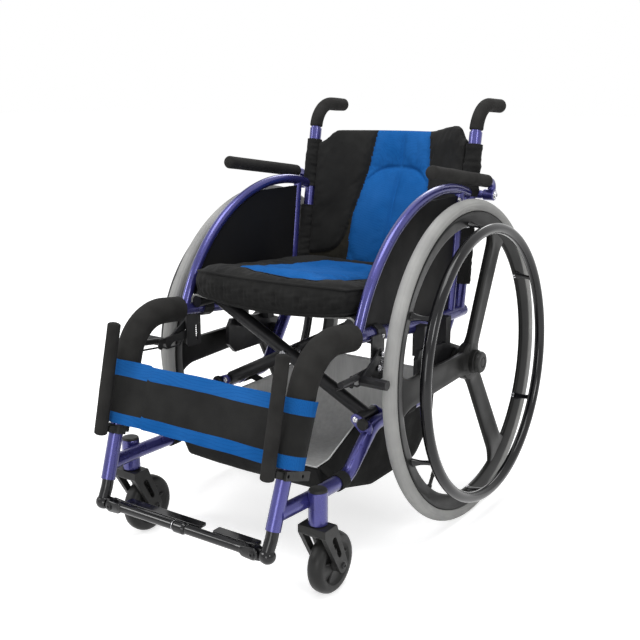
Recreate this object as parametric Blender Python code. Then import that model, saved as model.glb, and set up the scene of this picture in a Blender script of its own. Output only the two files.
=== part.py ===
"""Folding sports wheelchair. Metres, +Z up. The chair faces -Y, and +X is the occupant's left.

Inside this file Y is measured from the rear axle. The empty "chair" carries every piece and shifts the
whole by CHAIR_Y, so that the origin lies on the floor under the middle of the bounding box.
"""

import itertools
import math

import bmesh
import bpy
import numpy as np
from mathutils import Matrix, Vector

for old in list(bpy.data.objects):
    bpy.data.objects.remove(old, do_unlink=True)

# Gaps between pieces that touch
CLEAR = 0.0003
SOFT_CLEAR = 0.0005
HOLE_SIDES = 12

# Tubes of the frame
TUBE_R = 0.0125
ARCH_TUBE_R = 0.0095
STRUT_R = 0.0085
HANDLE_R = 0.0105
HEAD_R = 0.016

# Planes of the left side frame, measured from the middle of the chair
FRAME_X = 0.190
POST_X = 0.188
RAIL_X = 0.187
LEG_X = 0.179
KNEE_X = 0.188
HEAD_X = 0.206
ARM_X = 0.225
GUARD_X = 0.1875
GUARD_HALF = 0.0015

# Rear wheel
WHEEL_R = 0.305
TYRE_R = 0.0125
WHEEL_X = 0.2470
CAMBER = math.radians(2.15)
TYRE_BEAD_HALF = 0.0088
RIM_DEPTH = 0.0291
RIM_HALF = 0.0095
RIM_EDGE_HALF = 0.0035
RIM_LIP = 0.005
HUB_R = 0.0225
HUB_INNER = 0.0255
HUB_OUTER = 0.0230
SPOKE_W = 0.052
SPOKE_T = 0.0135
SPOKE_ANGLES = (61.0, 181.0, 301.0)
AXLE_PIN_R = 0.006
KNOB_R = 0.0205
KNOB_T = 0.0097
HANDRIM_INSET = 0.0317
HANDRIM_TUBE_R = 0.010
HANDRIM_OUT = 0.0452
WHEEL_STEPS = 36
AXLE_Z = (WHEEL_R - TYRE_R) * math.cos(CAMBER) + TYRE_R
TYRE_FRONT_Y = -WHEEL_R

# Side frame, in the plane across Y
SEAT_REAR_Y = 0.090
SEAT_Z = 0.380
SEAT_LEVEL_END_Y = -0.060
SEAT_RISE = (-0.257, 0.403)
KNEE = (-0.432, 0.4225)
KNEE_BEND_R = 0.085
LEG_END = (-0.526, 0.147)
RAIL_LEG_Z = 0.1715
RAIL_LOW = (-0.330, 0.168)
RAIL_HIGH_Z = 0.238
RAIL_RISE_Y = -0.245
RAIL_REAR_Y = -0.0596
RAIL_TOP_Y = 0.0405
RAIL_BEND_R = 0.050
ARCH_GAP = 0.006
ARCH_BEND_R = WHEEL_R + ARCH_GAP + ARCH_TUBE_R
ARCH_TO = 70.0
ARCH_FOOT_Z = 0.408
STRUT_FOOT_Y = 0.035
STRUT_BEND = (0.044, 0.458)
STRUT_TOP_Y = 0.0625
POST_FOOT_Y = 0.075
POST_BENDS = ((0.1055, 0.588), (0.1165, 0.660), (0.137, 0.778))
HANDLE_BEND_R = 0.055
HANDLE_END = (0.239, 0.773)
GRIP_FROM_Z = 0.727
GRIP_R = 0.0138
HANDLE_FROM_Z = 0.722

# Caster
HEAD_Y = -0.443
HEAD_BOTTOM_Z = 0.133
HEAD_TOP_Z = 0.190
HEAD_CAP_T = 0.004
STEM_R = 0.006
CASTER_R = 0.0525
CASTER_HALF = 0.0150
CASTER_TRAIL = 0.035
FORK_IN = 0.0180
FORK_OUT = 0.0265
FORK_CROWN_T = 0.019
FORK_EYE_R = 0.0125
CASTER_AXLE_R = 0.004

# Armrest
ARM_PIVOT_DROP = 0.003
ARM_PIVOT_BACK = 0.0116
ARM_PIVOT_Z = AXLE_Z + WHEEL_R - ARM_PIVOT_DROP
POST_YS, POST_ZS = zip((POST_FOOT_Y, SEAT_Z), *POST_BENDS)
ARM_PIVOT = (float(np.interp(ARM_PIVOT_Z, POST_ZS, POST_YS)) + ARM_PIVOT_BACK, ARM_PIVOT_Z)
ARM_FRONT = (-0.130, ARM_PIVOT[1] + 0.060)
ARM_TUBE_START = (-0.116, ARM_PIVOT[1] + 0.058)
ARM_REAR = (0.110, ARM_PIVOT[1] + 0.027)
ARM_PAD_R = 0.0125
ARM_TUBE_R = 0.0080
ARM_BACK = (0.1465, ARM_PIVOT[1] + 0.0215)
ARM_BEND_R = 0.012
ARM_EYE_R = 0.0110
ARM_BOLT_R = 0.0042

# Leg part
FOAM_R = 0.0235
FOAM_FROM_Y = TYRE_FRONT_Y - 0.012
FOAM_END_Z = 0.239
PAD_R = 0.0115
PAD_TOP = (-0.493, 0.422)
PAD_BOTTOM = (-0.539, 0.231)
PAD_X = 0.178
PAD_ROD_R = 0.004
BRACKET_Z = 0.2305
BRACKET_H = 0.015
BRACKET_BACK = 0.045
BRACKET_FACE_X = 0.1985
BRACKET_WALL = 0.004
BRACKET_HOLES = (-0.0142, 0.0253)
BRACKET_HOLE_R = 0.0033
PAD_GAP = 0.001
SLIDER_R = 0.0105
SLIDER_INSIDE = 0.045
HINGE_X = 0.155
HINGE_Y = -0.540
HINGE_Z = 0.110
BAR_R = 0.0083
LUG_R = 0.0115
LUG_HALF = 0.0045
LUG_ROOM = 0.0065
EYE_R = 0.0105
EYE_HALF = 0.0090
HINGE_PIN_R = 0.0035
PIN_HEAD_R = 0.006
PIN_HEAD_T = 0.003
KNUCKLE_R = 0.0105
KNUCKLE_REACH = 0.043
TONGUE_HALF = 0.0037
PLATE_FRONT_Y = -0.525
PLATE_REAR_Y = -0.507
PLATE_T = 0.006
PLATE_OUTER_X = 0.143
LEFT_PLATE_INNER_X = 0.055
RIGHT_PLATE_INNER_X = 0.028

# Folding cross brace
PIVOT_X = 0.168
PIVOT_Z = 0.250
SEAT_RAIL_Z = 0.422
SEAT_RAIL_R = 0.011
SEAT_RAIL_FRONT_Y = -0.295
SEAT_RAIL_REAR_Y = 0.028
ARM_A_Y = -0.238
ARM_B_Y = -0.198
PIVOT_SLEEVE_R = 0.0095
PIVOT_PIN_R = 0.004
BRACKET_A = (-0.272, -0.208)
BRACKET_B = (-0.217, -0.152)
BRACKET_T = 0.003
BRACKET_R = 0.0100
CROSS_BOLT_R = 0.004
CROSS_HEAD_R = 0.008

# Brake
BRAKE_CLAMP_Y = (TYRE_FRONT_Y + 0.067, TYRE_FRONT_Y + 0.043)
CLAMP_R = TUBE_R + 0.0045
BRAKE_Y = (TYRE_FRONT_Y + 0.020, TYRE_FRONT_Y + 0.060)
BRAKE_PLATE_X = 0.2040
BRAKE_PLATE_T = 0.0035
BRAKE_PLATE_Z = (0.326, 0.406)
BRAKE_SLOT_Y = TYRE_FRONT_Y + 0.048
BRAKE_SLOT_Z = (0.338, 0.362)
LEVER_PIVOT = (TYRE_FRONT_Y + 0.033, 0.350)
LEVER_END_Y = TYRE_FRONT_Y - 0.100
LEVER_GRIP_Y = TYRE_FRONT_Y - 0.040
LEVER_GRIP_X = 0.2115
LEVER_END_X = 0.2225
LEVER_GRIP_R = 0.0055
LEVER_T = 0.0035
LINK_R = 0.0018
SHOE_PIVOT = (TYRE_FRONT_Y + 0.037, 0.375)
SHOE_AT = (TYRE_FRONT_Y - 0.022, 0.342)
SHOE_R = 0.009
SHOE_OUTER_X = 0.262
SHOE_ARM_T = 0.004
BRAKE_PIN_R = 0.003
BRAKE_SPACER_R = 0.0055
BRAKE_HEAD_R = 0.005
BRAKE_HEAD_T = 0.0022

# Axle plate
PLATE_X = 0.2125
PLATE_OUT_X = 0.2205
AXLE_BLOCK_R = 0.0130
EAR_HALF = 0.010
EARS_Y = (-0.115, -0.030)
EAR_LAP = 0.030

# Seat saddle
SADDLE_Y = (-0.180, -0.155)
SADDLE_T = 0.004

# Soft parts
SLING_T = 0.002
SLING_SAG = 0.009
CUSHION_GAP = 0.008
CUSHION_HALF = GUARD_X - GUARD_HALF - CUSHION_GAP
CUSHION_Y = (-0.315, 0.064)
CUSHION_TOP_Z = (0.483, 0.453)
CUSHION_CROWN = 0.007
CHANNEL = 0.0028
SLEEVE_R = 0.0165
BACK_BOTTOM_Z = 0.428
BACK_TOP_Z = 0.720
SLEEVE_TOP_Z = 0.700
BACK_T = 0.022
BACK_INSET = 0.0135
BACK_HALF = POST_X - BACK_INSET
STRAP_Z = (0.2405, 0.342)
STRAP_T = 0.0025
STRAP_GAP = 0.0011
BAG_HALF = 0.152
BAG_WALL = 0.003

FRONT_REACH = -HINGE_Y + EYE_HALF + CLEAR + PIN_HEAD_T
CHAIR_Y = (FRONT_REACH - WHEEL_R) / 2


# Colour, roughness and metallic value of each finish
FINISHES = {
    "frame_purple": ((0.070, 0.065, 0.320, 1), 0.30, 0.75),
    "black_metal": ((0.012, 0.012, 0.013, 1), 0.35, 0.60),
    "black_plastic": ((0.020, 0.020, 0.021, 1), 0.50, 0.0),
    "black_foam": ((0.028, 0.027, 0.026, 1), 0.85, 0.0),
    "black_fabric": ((0.020, 0.020, 0.021, 1), 0.90, 0.0),
    "blue_fabric": ((0.023, 0.150, 0.480, 1), 0.85, 0.0),
    "grey_tyre": ((0.260, 0.260, 0.260, 1), 0.80, 0.0),
    "steel": ((0.600, 0.600, 0.620, 1), 0.25, 1.0),
}


def material_of(node, finish):
    colour, roughness, metallic = FINISHES[finish]
    material = bpy.data.materials.new(f"{node}_{finish}")
    material.use_nodes = True
    shader = material.node_tree.nodes["Principled BSDF"]
    shader.inputs["Base Color"].default_value = colour
    shader.inputs["Roughness"].default_value = roughness
    shader.inputs["Metallic"].default_value = metallic
    material.diffuse_color = colour
    return material


def solid(points, faces):
    """A closed mesh object from points and faces, with its faces turned outwards."""
    mesh = bpy.data.meshes.new("shape")
    mesh.from_pydata([tuple(point) for point in points], [], faces)
    work = bmesh.new()
    work.from_mesh(mesh)
    bmesh.ops.recalc_face_normals(work, faces=work.faces)
    work.to_mesh(mesh)
    work.free()
    shape = bpy.data.objects.new("shape", mesh)
    bpy.context.scene.collection.objects.link(shape)
    return shape


def combine(body, others, operation):
    """Applies Booleans with each of the others to the body, and removes the others."""
    for other in others:
        modifier = body.modifiers.new("join", "BOOLEAN")
        modifier.operation = operation
        modifier.object = other
    graph = bpy.context.evaluated_depsgraph_get()
    result = bpy.data.meshes.new_from_object(body.evaluated_get(graph))
    body.modifiers.clear()
    body.data = result
    for other in others:
        bpy.data.objects.remove(other, do_unlink=True)
    return body


def join(body, *others):
    return combine(body, others, "UNION")


def cut(body, *others):
    return combine(body, others, "DIFFERENCE")


def mirrored(shape):
    """A copy on the other side of the chair."""
    copy = bpy.data.objects.new("shape", shape.data.copy())
    copy.data.transform(Matrix.Diagonal((-1, 1, 1, 1)))
    copy.data.flip_normals()
    bpy.context.scene.collection.objects.link(copy)
    return copy


def rounded(corners, radii, step=18.0):
    """A line through the corners with an arc at each inner corner."""
    corners = [Vector(corner) for corner in corners]
    path = [corners[0]]
    for before, corner, after, radius in zip(corners, corners[1:], corners[2:], radii):
        back = (before - corner).normalized()
        onward = (after - corner).normalized()
        turn = math.pi - back.angle(onward)
        count = max(1, round(math.degrees(turn) / step))
        start = corner + back * radius * math.tan(turn / 2)
        centre = corner + (back + onward).normalized() * radius / math.cos(turn / 2)
        outward = (start - centre).normalized()
        for k in range(count + 1):
            angle = turn * k / count
            path.append(centre + radius * (outward * math.cos(angle) - back * math.sin(angle)))
    path.append(corners[-1])
    return path


def lengths(path):
    steps = [0.0]
    for first, second in zip(path, path[1:]):
        steps.append(steps[-1] + (second - first).length)
    return steps


def point_at(path, distance):
    marks = lengths(path)
    for mark, after, first, second in zip(marks, marks[1:], path, path[1:]):
        if distance <= after or second is path[-1]:
            return first.lerp(second, (distance - mark) / (after - mark))
    return path[-1]


def distance_to(path, axis, value):
    """How far along the path its coordinate first reaches the value."""
    marks = lengths(path)
    for mark, after, first, second in zip(marks, marks[1:], path, path[1:]):
        low, high = sorted((first[axis], second[axis]))
        if low <= value <= high and high > low:
            return mark + (after - mark) * (value - first[axis]) / (second[axis] - first[axis])
    return marks[-1]


def portion(path, start, end):
    """The stretch of the path between two distances along it."""
    inner = [p for mark, p in zip(lengths(path), path) if start + 1e-4 < mark < end - 1e-4]
    return [point_at(path, start)] + inner + [point_at(path, end)]


def stretched(path, span, extra):
    """The stretch of the path between two values of Y, longer by the extra at both ends."""
    first, second = (distance_to(path, 1, y) for y in span)
    return portion(path, first - extra, second + extra)


def tube(path, radius, sides=10, across=(1, 0, 0)):
    """A round bar along the path, its rings mitred at the corners. The radius may differ per point."""
    path = [Vector(point) for point in path]
    radii = radius if isinstance(radius, (list, tuple)) else [radius] * len(path)
    runs = [(second - first).normalized() for first, second in zip(path, path[1:])]
    points = []
    for k, centre in enumerate(path):
        into = runs[max(k - 1, 0)]
        out = runs[min(k, len(runs) - 1)]
        along = (into + out).normalized()
        side = Vector(across)
        side = (side - along * side.dot(along)).normalized()
        rise = along.cross(side)
        bend = out - into
        stretch = 1 / max(0.5, into.dot(along))
        for n in range(sides):
            angle = 2 * math.pi * n / sides
            spoke = (side * math.cos(angle) + rise * math.sin(angle)) * radii[k]
            if bend.length > 1e-6:
                lean = bend.normalized()
                spoke += lean * spoke.dot(lean) * (stretch - 1)
            points.append(centre + spoke)
    faces = [tuple(range(sides)), tuple(range(len(points) - sides, len(points)))]
    for ring in range(len(path) - 1):
        for n in range(sides):
            after = (n + 1) % sides
            low = ring * sides
            faces.append((low + n, low + after, low + sides + after, low + sides + n))
    return solid(points, faces)


def pin(start, end, radius, sides=8):
    """A straight round bar. Its flats are set so that a corner points across the chair or up."""
    start, end = Vector(start), Vector(end)
    along = (end - start).normalized()
    across = (0, 0, 1) if abs(along.z) < 0.5 else (1, 0, 0)
    return tube([start, end], radius, sides, across)


def turning_hole(start, end, radius):
    """A cutter for the hole that a bar of this radius turns in: even its flats clear the bar's corners."""
    return pin(start, end, (radius + CLEAR) / math.cos(math.pi / HOLE_SIDES), HOLE_SIDES)


def block(low, high):
    corners = itertools.product(*zip(low, high))
    return hull(list(corners))


def hull(points):
    """The convex solid round the points."""
    work = bmesh.new()
    for point in points:
        work.verts.new(point)
    made = bmesh.ops.convex_hull(work, input=work.verts)
    spare = set(made["geom_interior"] + made["geom_unused"])
    loose = [item for item in spare if isinstance(item, bmesh.types.BMVert)]
    bmesh.ops.delete(work, geom=loose, context="VERTS")
    bmesh.ops.recalc_face_normals(work, faces=work.faces)
    mesh = bpy.data.meshes.new("shape")
    work.to_mesh(mesh)
    work.free()
    shape = bpy.data.objects.new("shape", mesh)
    bpy.context.scene.collection.objects.link(shape)
    return shape


def circle(centre, radius, count=12):
    """Points round a centre given as two coordinates."""
    angles = [2 * math.pi * k / count for k in range(count)]
    return [(centre[0] + radius * math.cos(a), centre[1] + radius * math.sin(a)) for a in angles]


def plate_x(outline, low, high):
    """The convex plate with this outline across Y and Z, between two planes of X."""
    return hull([(x, y, z) for x in (low, high) for y, z in outline])


def plate_y(outline, low, high):
    """The convex plate with this outline across X and Z, between two planes of Y."""
    return hull([(x, y, z) for y in (low, high) for x, z in outline])


def prism(outline, low, high, axis):
    """A plate of any outline, given in order round it. Axis 0 stands it across X, and axis 1 across Y."""
    points = []
    for level in (low, high):
        for first, second in outline:
            points.append((level, first, second) if axis == 0 else (first, level, second))
    count = len(outline)
    faces = [tuple(range(count)), tuple(range(count, 2 * count))]
    for n in range(count):
        after = (n + 1) % count
        faces.append((n, after, count + after, count + n))
    return solid(points, faces)


def turned(profile, steps, start=0.0):
    """A ring turned round the X axis from a closed profile of (radius, offset along X)."""
    points = []
    for k in range(steps):
        angle = start + 2 * math.pi * k / steps
        for radius, offset in profile:
            points.append((offset, radius * math.cos(angle), radius * math.sin(angle)))
    count = len(profile)
    faces = []
    for k in range(steps):
        after = (k + 1) % steps
        for n in range(count):
            right = (n + 1) % count
            faces.append((k * count + n, after * count + n, after * count + right, k * count + right))
    return solid(points, faces)


def in_plane(x, pairs):
    return [(x, y, z) for y, z in pairs]


# Every finished piece: name, shape, finish and the pivot that carries it
pieces = []


def keep(name, shape, finish, pivot="chair"):
    shape.name = name
    shape.data.name = name
    pieces.append((shape, pivot))
    shape.data.materials.clear()
    shape.data.materials.append(material_of(name, finish))
    return shape


def keep_pair(name, shape, finish, pivot=None):
    """The left piece and its mirror image. A pivot named here has a left and a right one."""
    right = mirrored(shape)
    keep(f"left_{name}", shape, finish, f"left_{pivot}" if pivot else "chair")
    keep(f"right_{name}", right, finish, f"right_{pivot}" if pivot else "right_frame")


# Paths of the left side frame's tubes

seat_path = rounded(
    [
        (FRAME_X, SEAT_REAR_Y, SEAT_Z),
        (FRAME_X, SEAT_LEVEL_END_Y, SEAT_Z),
        (FRAME_X, *SEAT_RISE),
        (KNEE_X, *KNEE),
        (LEG_X, *LEG_END),
    ],
    (0.2, 0.2, KNEE_BEND_R),
)

LEG_SLOPE = (LEG_END[0] - KNEE[0]) / (LEG_END[1] - KNEE[1])


def leg_y(z):
    return LEG_END[0] + (z - LEG_END[1]) * LEG_SLOPE


def leg_x(z):
    return LEG_X + (z - LEG_END[1]) * (KNEE_X - LEG_X) / (KNEE[1] - LEG_END[1])


LEG_LEAN = math.atan(LEG_SLOPE)


def by_leg(x, back, z, along=0.0):
    """The point this far behind the leg's axis and up along it from height z, square to the leg."""
    y = leg_y(z) + back * math.cos(LEG_LEAN) + along * math.sin(LEG_LEAN)
    return (x, y, z - back * math.sin(LEG_LEAN) + along * math.cos(LEG_LEAN))


rail_path = rounded(
    [
        (RAIL_X - 0.005, leg_y(RAIL_LEG_Z), RAIL_LEG_Z),
        (RAIL_X, HEAD_Y, RAIL_LEG_Z - 0.001),
        (RAIL_X, *RAIL_LOW),
        (RAIL_X, RAIL_RISE_Y, RAIL_HIGH_Z),
        (RAIL_X, RAIL_REAR_Y, RAIL_HIGH_Z),
        (RAIL_X, RAIL_TOP_Y, SEAT_Z),
    ],
    (0.1, RAIL_BEND_R, RAIL_BEND_R, RAIL_BEND_R),
)


def on_arch(degrees, radius=ARCH_BEND_R):
    angle = math.radians(degrees)
    return (radius * math.cos(angle), AXLE_Z + radius * math.sin(angle))


ARCH_STEP = 7.0
arch_from = 180 - math.degrees(math.asin((ARCH_FOOT_Z - AXLE_Z) / ARCH_BEND_R))
arch_angles = np.arange(arch_from, ARCH_TO - 0.1, -ARCH_STEP).tolist() + [ARCH_TO]
arch_path = [Vector(p) for p in in_plane(FRAME_X, [on_arch(a) for a in arch_angles])]

strut_top_z = AXLE_Z + math.sqrt(ARCH_BEND_R**2 - STRUT_TOP_Y**2)
strut_corners = [(STRUT_FOOT_Y, SEAT_Z), STRUT_BEND, (STRUT_TOP_Y, strut_top_z)]
strut_path = [Vector(p) for p in in_plane(FRAME_X, strut_corners)]

post_path = rounded(
    in_plane(POST_X, [(POST_FOOT_Y, SEAT_Z), *POST_BENDS, HANDLE_END]),
    (0.2, 0.2, HANDLE_BEND_R),
)


def post_y(z):
    return point_at(post_path, distance_to(post_path, 2, z)).y


# Seat tube: runs forward, bends down at the knee and takes the footrest slider in its lower end

leg_down = (seat_path[-1] - seat_path[-2]).normalized()
leg_end = seat_path[-1]
seat_tube = tube(seat_path, TUBE_R)
bore = pin(leg_end + leg_down * 0.01, leg_end - leg_down * (SLIDER_INSIDE + 0.003), SLIDER_R + CLEAR, 10)
keep_pair("seat_tube", cut(seat_tube, bore), "frame_purple")

# Back post with its push handle, coped onto the seat tube

handle_start = distance_to(post_path, 2, HANDLE_FROM_Z)
post_length = lengths(post_path)[-1]
post = tube(portion(post_path, 0, handle_start), TUBE_R)
handle = tube(portion(post_path, handle_start - 0.004, post_length), HANDLE_R)
arm_boss = pin((POST_X, *ARM_PIVOT), (ARM_X - ARM_EYE_R - CLEAR, *ARM_PIVOT), ARM_BOLT_R + 0.003)
arm_bolt = pin((POST_X, *ARM_PIVOT), (ARM_X + ARM_EYE_R + 0.002, *ARM_PIVOT), ARM_BOLT_R)
arm_bolt_head = pin(
    (ARM_X + ARM_EYE_R + CLEAR, *ARM_PIVOT),
    (ARM_X + ARM_EYE_R + 0.004, *ARM_PIVOT),
    ARM_BOLT_R + 0.0028,
)
post = join(post, handle, arm_boss, arm_bolt, arm_bolt_head)
post = cut(post, tube(seat_path, TUBE_R + CLEAR))
keep_pair("back_post", post, "frame_purple")

# Arch tube over the wheel, coped onto the seat tube and the back post

arch = tube(arch_path, ARCH_TUBE_R, 8)
arch = cut(arch, tube(seat_path, TUBE_R + CLEAR), tube(portion(post_path, 0, handle_start), TUBE_R + CLEAR))
keep_pair("arch_tube", arch, "frame_purple")

# Guard strut between the seat tube and the arch

strut = tube(strut_path, STRUT_R, 8)
strut = cut(strut, tube(seat_path, TUBE_R + CLEAR), tube(arch_path, ARCH_TUBE_R + CLEAR, 8))
keep_pair("guard_strut", strut, "frame_purple")

# Push grip: a foam sleeve over the handle with a round end

GRIP_ROUND = 0.006
grip_start = distance_to(post_path, 2, GRIP_FROM_Z)
grip_end = point_at(post_path, post_length)
grip_way = (grip_end - point_at(post_path, post_length - 0.02)).normalized()
grip_path = portion(post_path, grip_start, post_length)
grip_path += [grip_end + grip_way * CLEAR * 2, grip_end + grip_way * GRIP_ROUND]
grip_radii = [GRIP_R] * (len(grip_path) - 1) + [GRIP_R * 0.6]
grip = tube(grip_path, grip_radii, 12)
grip_bore_way = portion(post_path, handle_start - 0.006, post_length) + [grip_end + grip_way * CLEAR]
grip_bore = tube(grip_bore_way, HANDLE_R + CLEAR)
keep_pair("push_grip", cut(grip, grip_bore), "black_foam")

# Lower rail with the caster's head tube

head = pin((HEAD_X, HEAD_Y, HEAD_BOTTOM_Z), (HEAD_X, HEAD_Y, HEAD_TOP_Z), HEAD_R, 12)
cap_top = (HEAD_X, HEAD_Y, HEAD_TOP_Z + HEAD_CAP_T)
head_cap = pin((HEAD_X, HEAD_Y, HEAD_TOP_Z - 0.002), cap_top, HEAD_R - 0.0015, 12)
rail = join(tube(rail_path, TUBE_R), head, head_cap)
stem_top_z = HEAD_TOP_Z - 0.006
rail = cut(
    rail,
    tube(seat_path, TUBE_R + CLEAR),
    turning_hole((HEAD_X, HEAD_Y, HEAD_BOTTOM_Z - 0.01), (HEAD_X, HEAD_Y, stem_top_z + CLEAR), STEM_R),
)


def with_bracket(frame_rail, side, span):
    """The rail with the two plates and the pin that hold the foot of a cross arm."""
    front, rear = span
    eye = circle((side * PIVOT_X, PIVOT_Z), BRACKET_R)
    saddle = circle((side * RAIL_X, RAIL_HIGH_Z), TUBE_R + 0.0015)
    plates = [plate_y(eye + saddle, y, y + BRACKET_T) for y in (front, rear - BRACKET_T)]
    pivot_x = side * PIVOT_X
    bolt = pin((pivot_x, front - 0.002, PIVOT_Z), (pivot_x, rear + 0.002, PIVOT_Z), PIVOT_PIN_R)
    return join(frame_rail, *plates, bolt)


right_rail = mirrored(rail)
keep("left_lower_rail", with_bracket(rail, 1, BRACKET_A), "frame_purple")
keep("right_lower_rail", with_bracket(right_rail, -1, BRACKET_B), "frame_purple", "right_frame")

# Caster fork with its stem, and the wheel on its bolt

axle_y = HEAD_Y + CASTER_TRAIL
crown_top = HEAD_BOTTOM_Z - CLEAR
crown_low = crown_top - FORK_CROWN_T
crown = [(HEAD_Y - 0.019, crown_top), (HEAD_Y + 0.015, crown_top), (HEAD_Y + 0.019, crown_low + 0.004)]
crown += [(HEAD_Y - 0.019, crown_low + 0.006), (HEAD_Y + 0.016, crown_low)]
fork = plate_x(crown + [(HEAD_Y - 0.012, crown_low)], HEAD_X - FORK_OUT + 0.001, HEAD_X + FORK_OUT - 0.001)
eye = circle((axle_y, CASTER_R), FORK_EYE_R)
leg_spans = ((-FORK_OUT, -FORK_IN), (FORK_IN, FORK_OUT))
legs = [plate_x(crown + eye, HEAD_X + low, HEAD_X + high) for low, high in leg_spans]
slot_top = (HEAD_Y + 0.008, crown_low - 0.006)
slot_low = (HEAD_Y + 0.024, CASTER_R + 0.024)
slot = plate_x(circle(slot_top, 0.0055) + circle(slot_low, 0.0045), HEAD_X - 0.05, HEAD_X + 0.05)
stem = pin((HEAD_X, HEAD_Y, crown_low + 0.005), (HEAD_X, HEAD_Y, stem_top_z), STEM_R)
fork = join(fork, *legs, stem)
axle_ends = [(HEAD_X + reach, axle_y, CASTER_R) for reach in (-0.05, 0.05)]
axle_hole = turning_hole(*axle_ends, CASTER_AXLE_R)
keep_pair("caster_fork", cut(fork, slot, axle_hole), "black_plastic", "caster_swivel")

caster_profile = [
    (CASTER_AXLE_R * 0.9, -CASTER_HALF - 0.0022),
    (0.0125, -CASTER_HALF - 0.0022),
    (0.0170, -CASTER_HALF + 0.0035),
    (CASTER_R - 0.010, -CASTER_HALF),
    (CASTER_R, -CASTER_HALF + 0.0095),
]
caster_profile += [(radius, -offset) for radius, offset in reversed(caster_profile)]
caster = turned(caster_profile, 20)
caster_bolt = pin((-FORK_OUT - 0.001, 0, 0), (FORK_OUT + 0.001, 0, 0), CASTER_AXLE_R)
bolt_heads = [
    pin((side * (FORK_OUT + CLEAR), 0, 0), (side * (FORK_OUT + 0.003), 0, 0), CASTER_AXLE_R + 0.003)
    for side in (-1, 1)
]
caster = join(caster, caster_bolt, *bolt_heads)
caster.data.transform(Matrix.Translation((HEAD_X, axle_y, CASTER_R)))
keep_pair("caster_wheel", caster, "black_plastic", "caster_axle")

# Rear wheel, made round its own X axis and then leaned in by the camber

wheel_place = Matrix.Translation((WHEEL_X, 0, AXLE_Z)) @ Matrix.Rotation(-CAMBER, 4, "Y")


def on_axle(offset):
    return wheel_place @ Vector((offset, 0, 0))


tyre_middle_r = WHEEL_R - TYRE_R
tyre_seat_r = tyre_middle_r - math.sqrt(TYRE_R**2 - TYRE_BEAD_HALF**2)
seat_angle = math.pi - math.asin(TYRE_BEAD_HALF / TYRE_R)
tyre_profile = []
TYRE_SIDES = 6
for k in range(TYRE_SIDES + 1):
    angle = seat_angle * (2 * k / TYRE_SIDES - 1)
    tyre_profile.append((tyre_middle_r + TYRE_R * math.cos(angle), TYRE_R * math.sin(angle)))
tyre = turned(tyre_profile, WHEEL_STEPS)
tyre.data.transform(wheel_place)
keep_pair("tyre", tyre, "grey_tyre", "wheel")

rim_outer_r = tyre_seat_r - CLEAR
rim_inner_r = tyre_seat_r - RIM_DEPTH
rim_profile = [
    (rim_inner_r, -RIM_EDGE_HALF),
    (rim_outer_r - RIM_LIP, -RIM_HALF),
    (rim_outer_r, -RIM_HALF + 0.0015),
]
rim_profile += [(radius, -offset) for radius, offset in reversed(rim_profile)]
mag = turned(rim_profile, WHEEL_STEPS)
hub = pin((-HUB_INNER, 0, 0), (HUB_OUTER, 0, 0), HUB_R, 18)
spokes = []
for degrees in SPOKE_ANGLES:
    blade = []
    for reach, width in ((HUB_R * 0.5, SPOKE_W * 0.80), (rim_inner_r + 0.003, SPOKE_W)):
        half = width / 2
        for across, thick in ((half, 0.25), (half - 0.010, 0.5)):
            for sign in (-1, 1):
                for face in (-1, 1):
                    blade.append((face * thick * SPOKE_T + 0.001, reach, sign * across))
    spoke = hull(blade)
    spoke.data.transform(Matrix.Rotation(math.radians(degrees), 4, "X"))
    spokes.append(spoke)
mag = join(mag, hub, *spokes)
mag = cut(mag, pin((-0.05, 0, 0), (0.05, 0, 0), AXLE_PIN_R + CLEAR))
mag.data.transform(wheel_place)
keep_pair("mag_wheel", mag, "black_plastic", "wheel")

RING_SIDES = 6
handrim_r = tyre_seat_r - HANDRIM_INSET
ring_profile = circle((handrim_r, HANDRIM_OUT), HANDRIM_TUBE_R, RING_SIDES)
handrim = turned(ring_profile, WHEEL_STEPS)
TAB_HALF_W = 0.007
TAB_HALF_T = 0.0045
TAB_FOOT = 0.009
rim_slope = (RIM_HALF - RIM_EDGE_HALF) / (rim_outer_r - RIM_LIP - rim_inner_r)
foot_r = rim_inner_r + 0.001
foot_out = RIM_EDGE_HALF + rim_slope * 0.001 + 2 * CLEAR
tab_section = [(foot_out, foot_r, 1.0), (foot_out + rim_slope * TAB_FOOT, foot_r + TAB_FOOT, 1.0)]
tab_section += [(HANDRIM_OUT, handrim_r - TAB_HALF_T, 0.6), (HANDRIM_OUT, handrim_r + TAB_HALF_T, 0.6)]
tabs = []
for k in range(6):
    tab = hull(
        [
            (offset, radius, side * TAB_HALF_W * spread)
            for offset, radius, spread in tab_section
            for side in (-1, 1)
        ]
    )
    tab.data.transform(Matrix.Rotation(math.radians(30 + 60 * k), 4, "X"))
    tabs.append(tab)
handrim = join(handrim, *tabs)
handrim.data.transform(wheel_place)
keep_pair("handrim", handrim, "black_metal", "wheel")

knob_inner = HUB_OUTER + CLEAR
pin_inner = -(WHEEL_X - RAIL_X - TUBE_R - 0.0022)
axle = pin((pin_inner, 0, 0), (knob_inner + 0.002, 0, 0), AXLE_PIN_R)
knob_way = [(knob_inner, 0, 0), (knob_inner + KNOB_T - 0.003, 0, 0), (knob_inner + KNOB_T, 0, 0)]
knob = tube(knob_way, [KNOB_R, KNOB_R, KNOB_R - 0.004], 20, (0, 0, 1))
axle = join(axle, knob)
axle.data.transform(wheel_place)
keep_pair("wheel_axle", axle, "black_plastic", "wheel")

# Axle plate with the bearing block of the wheel and two ears against the seat tube

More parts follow.
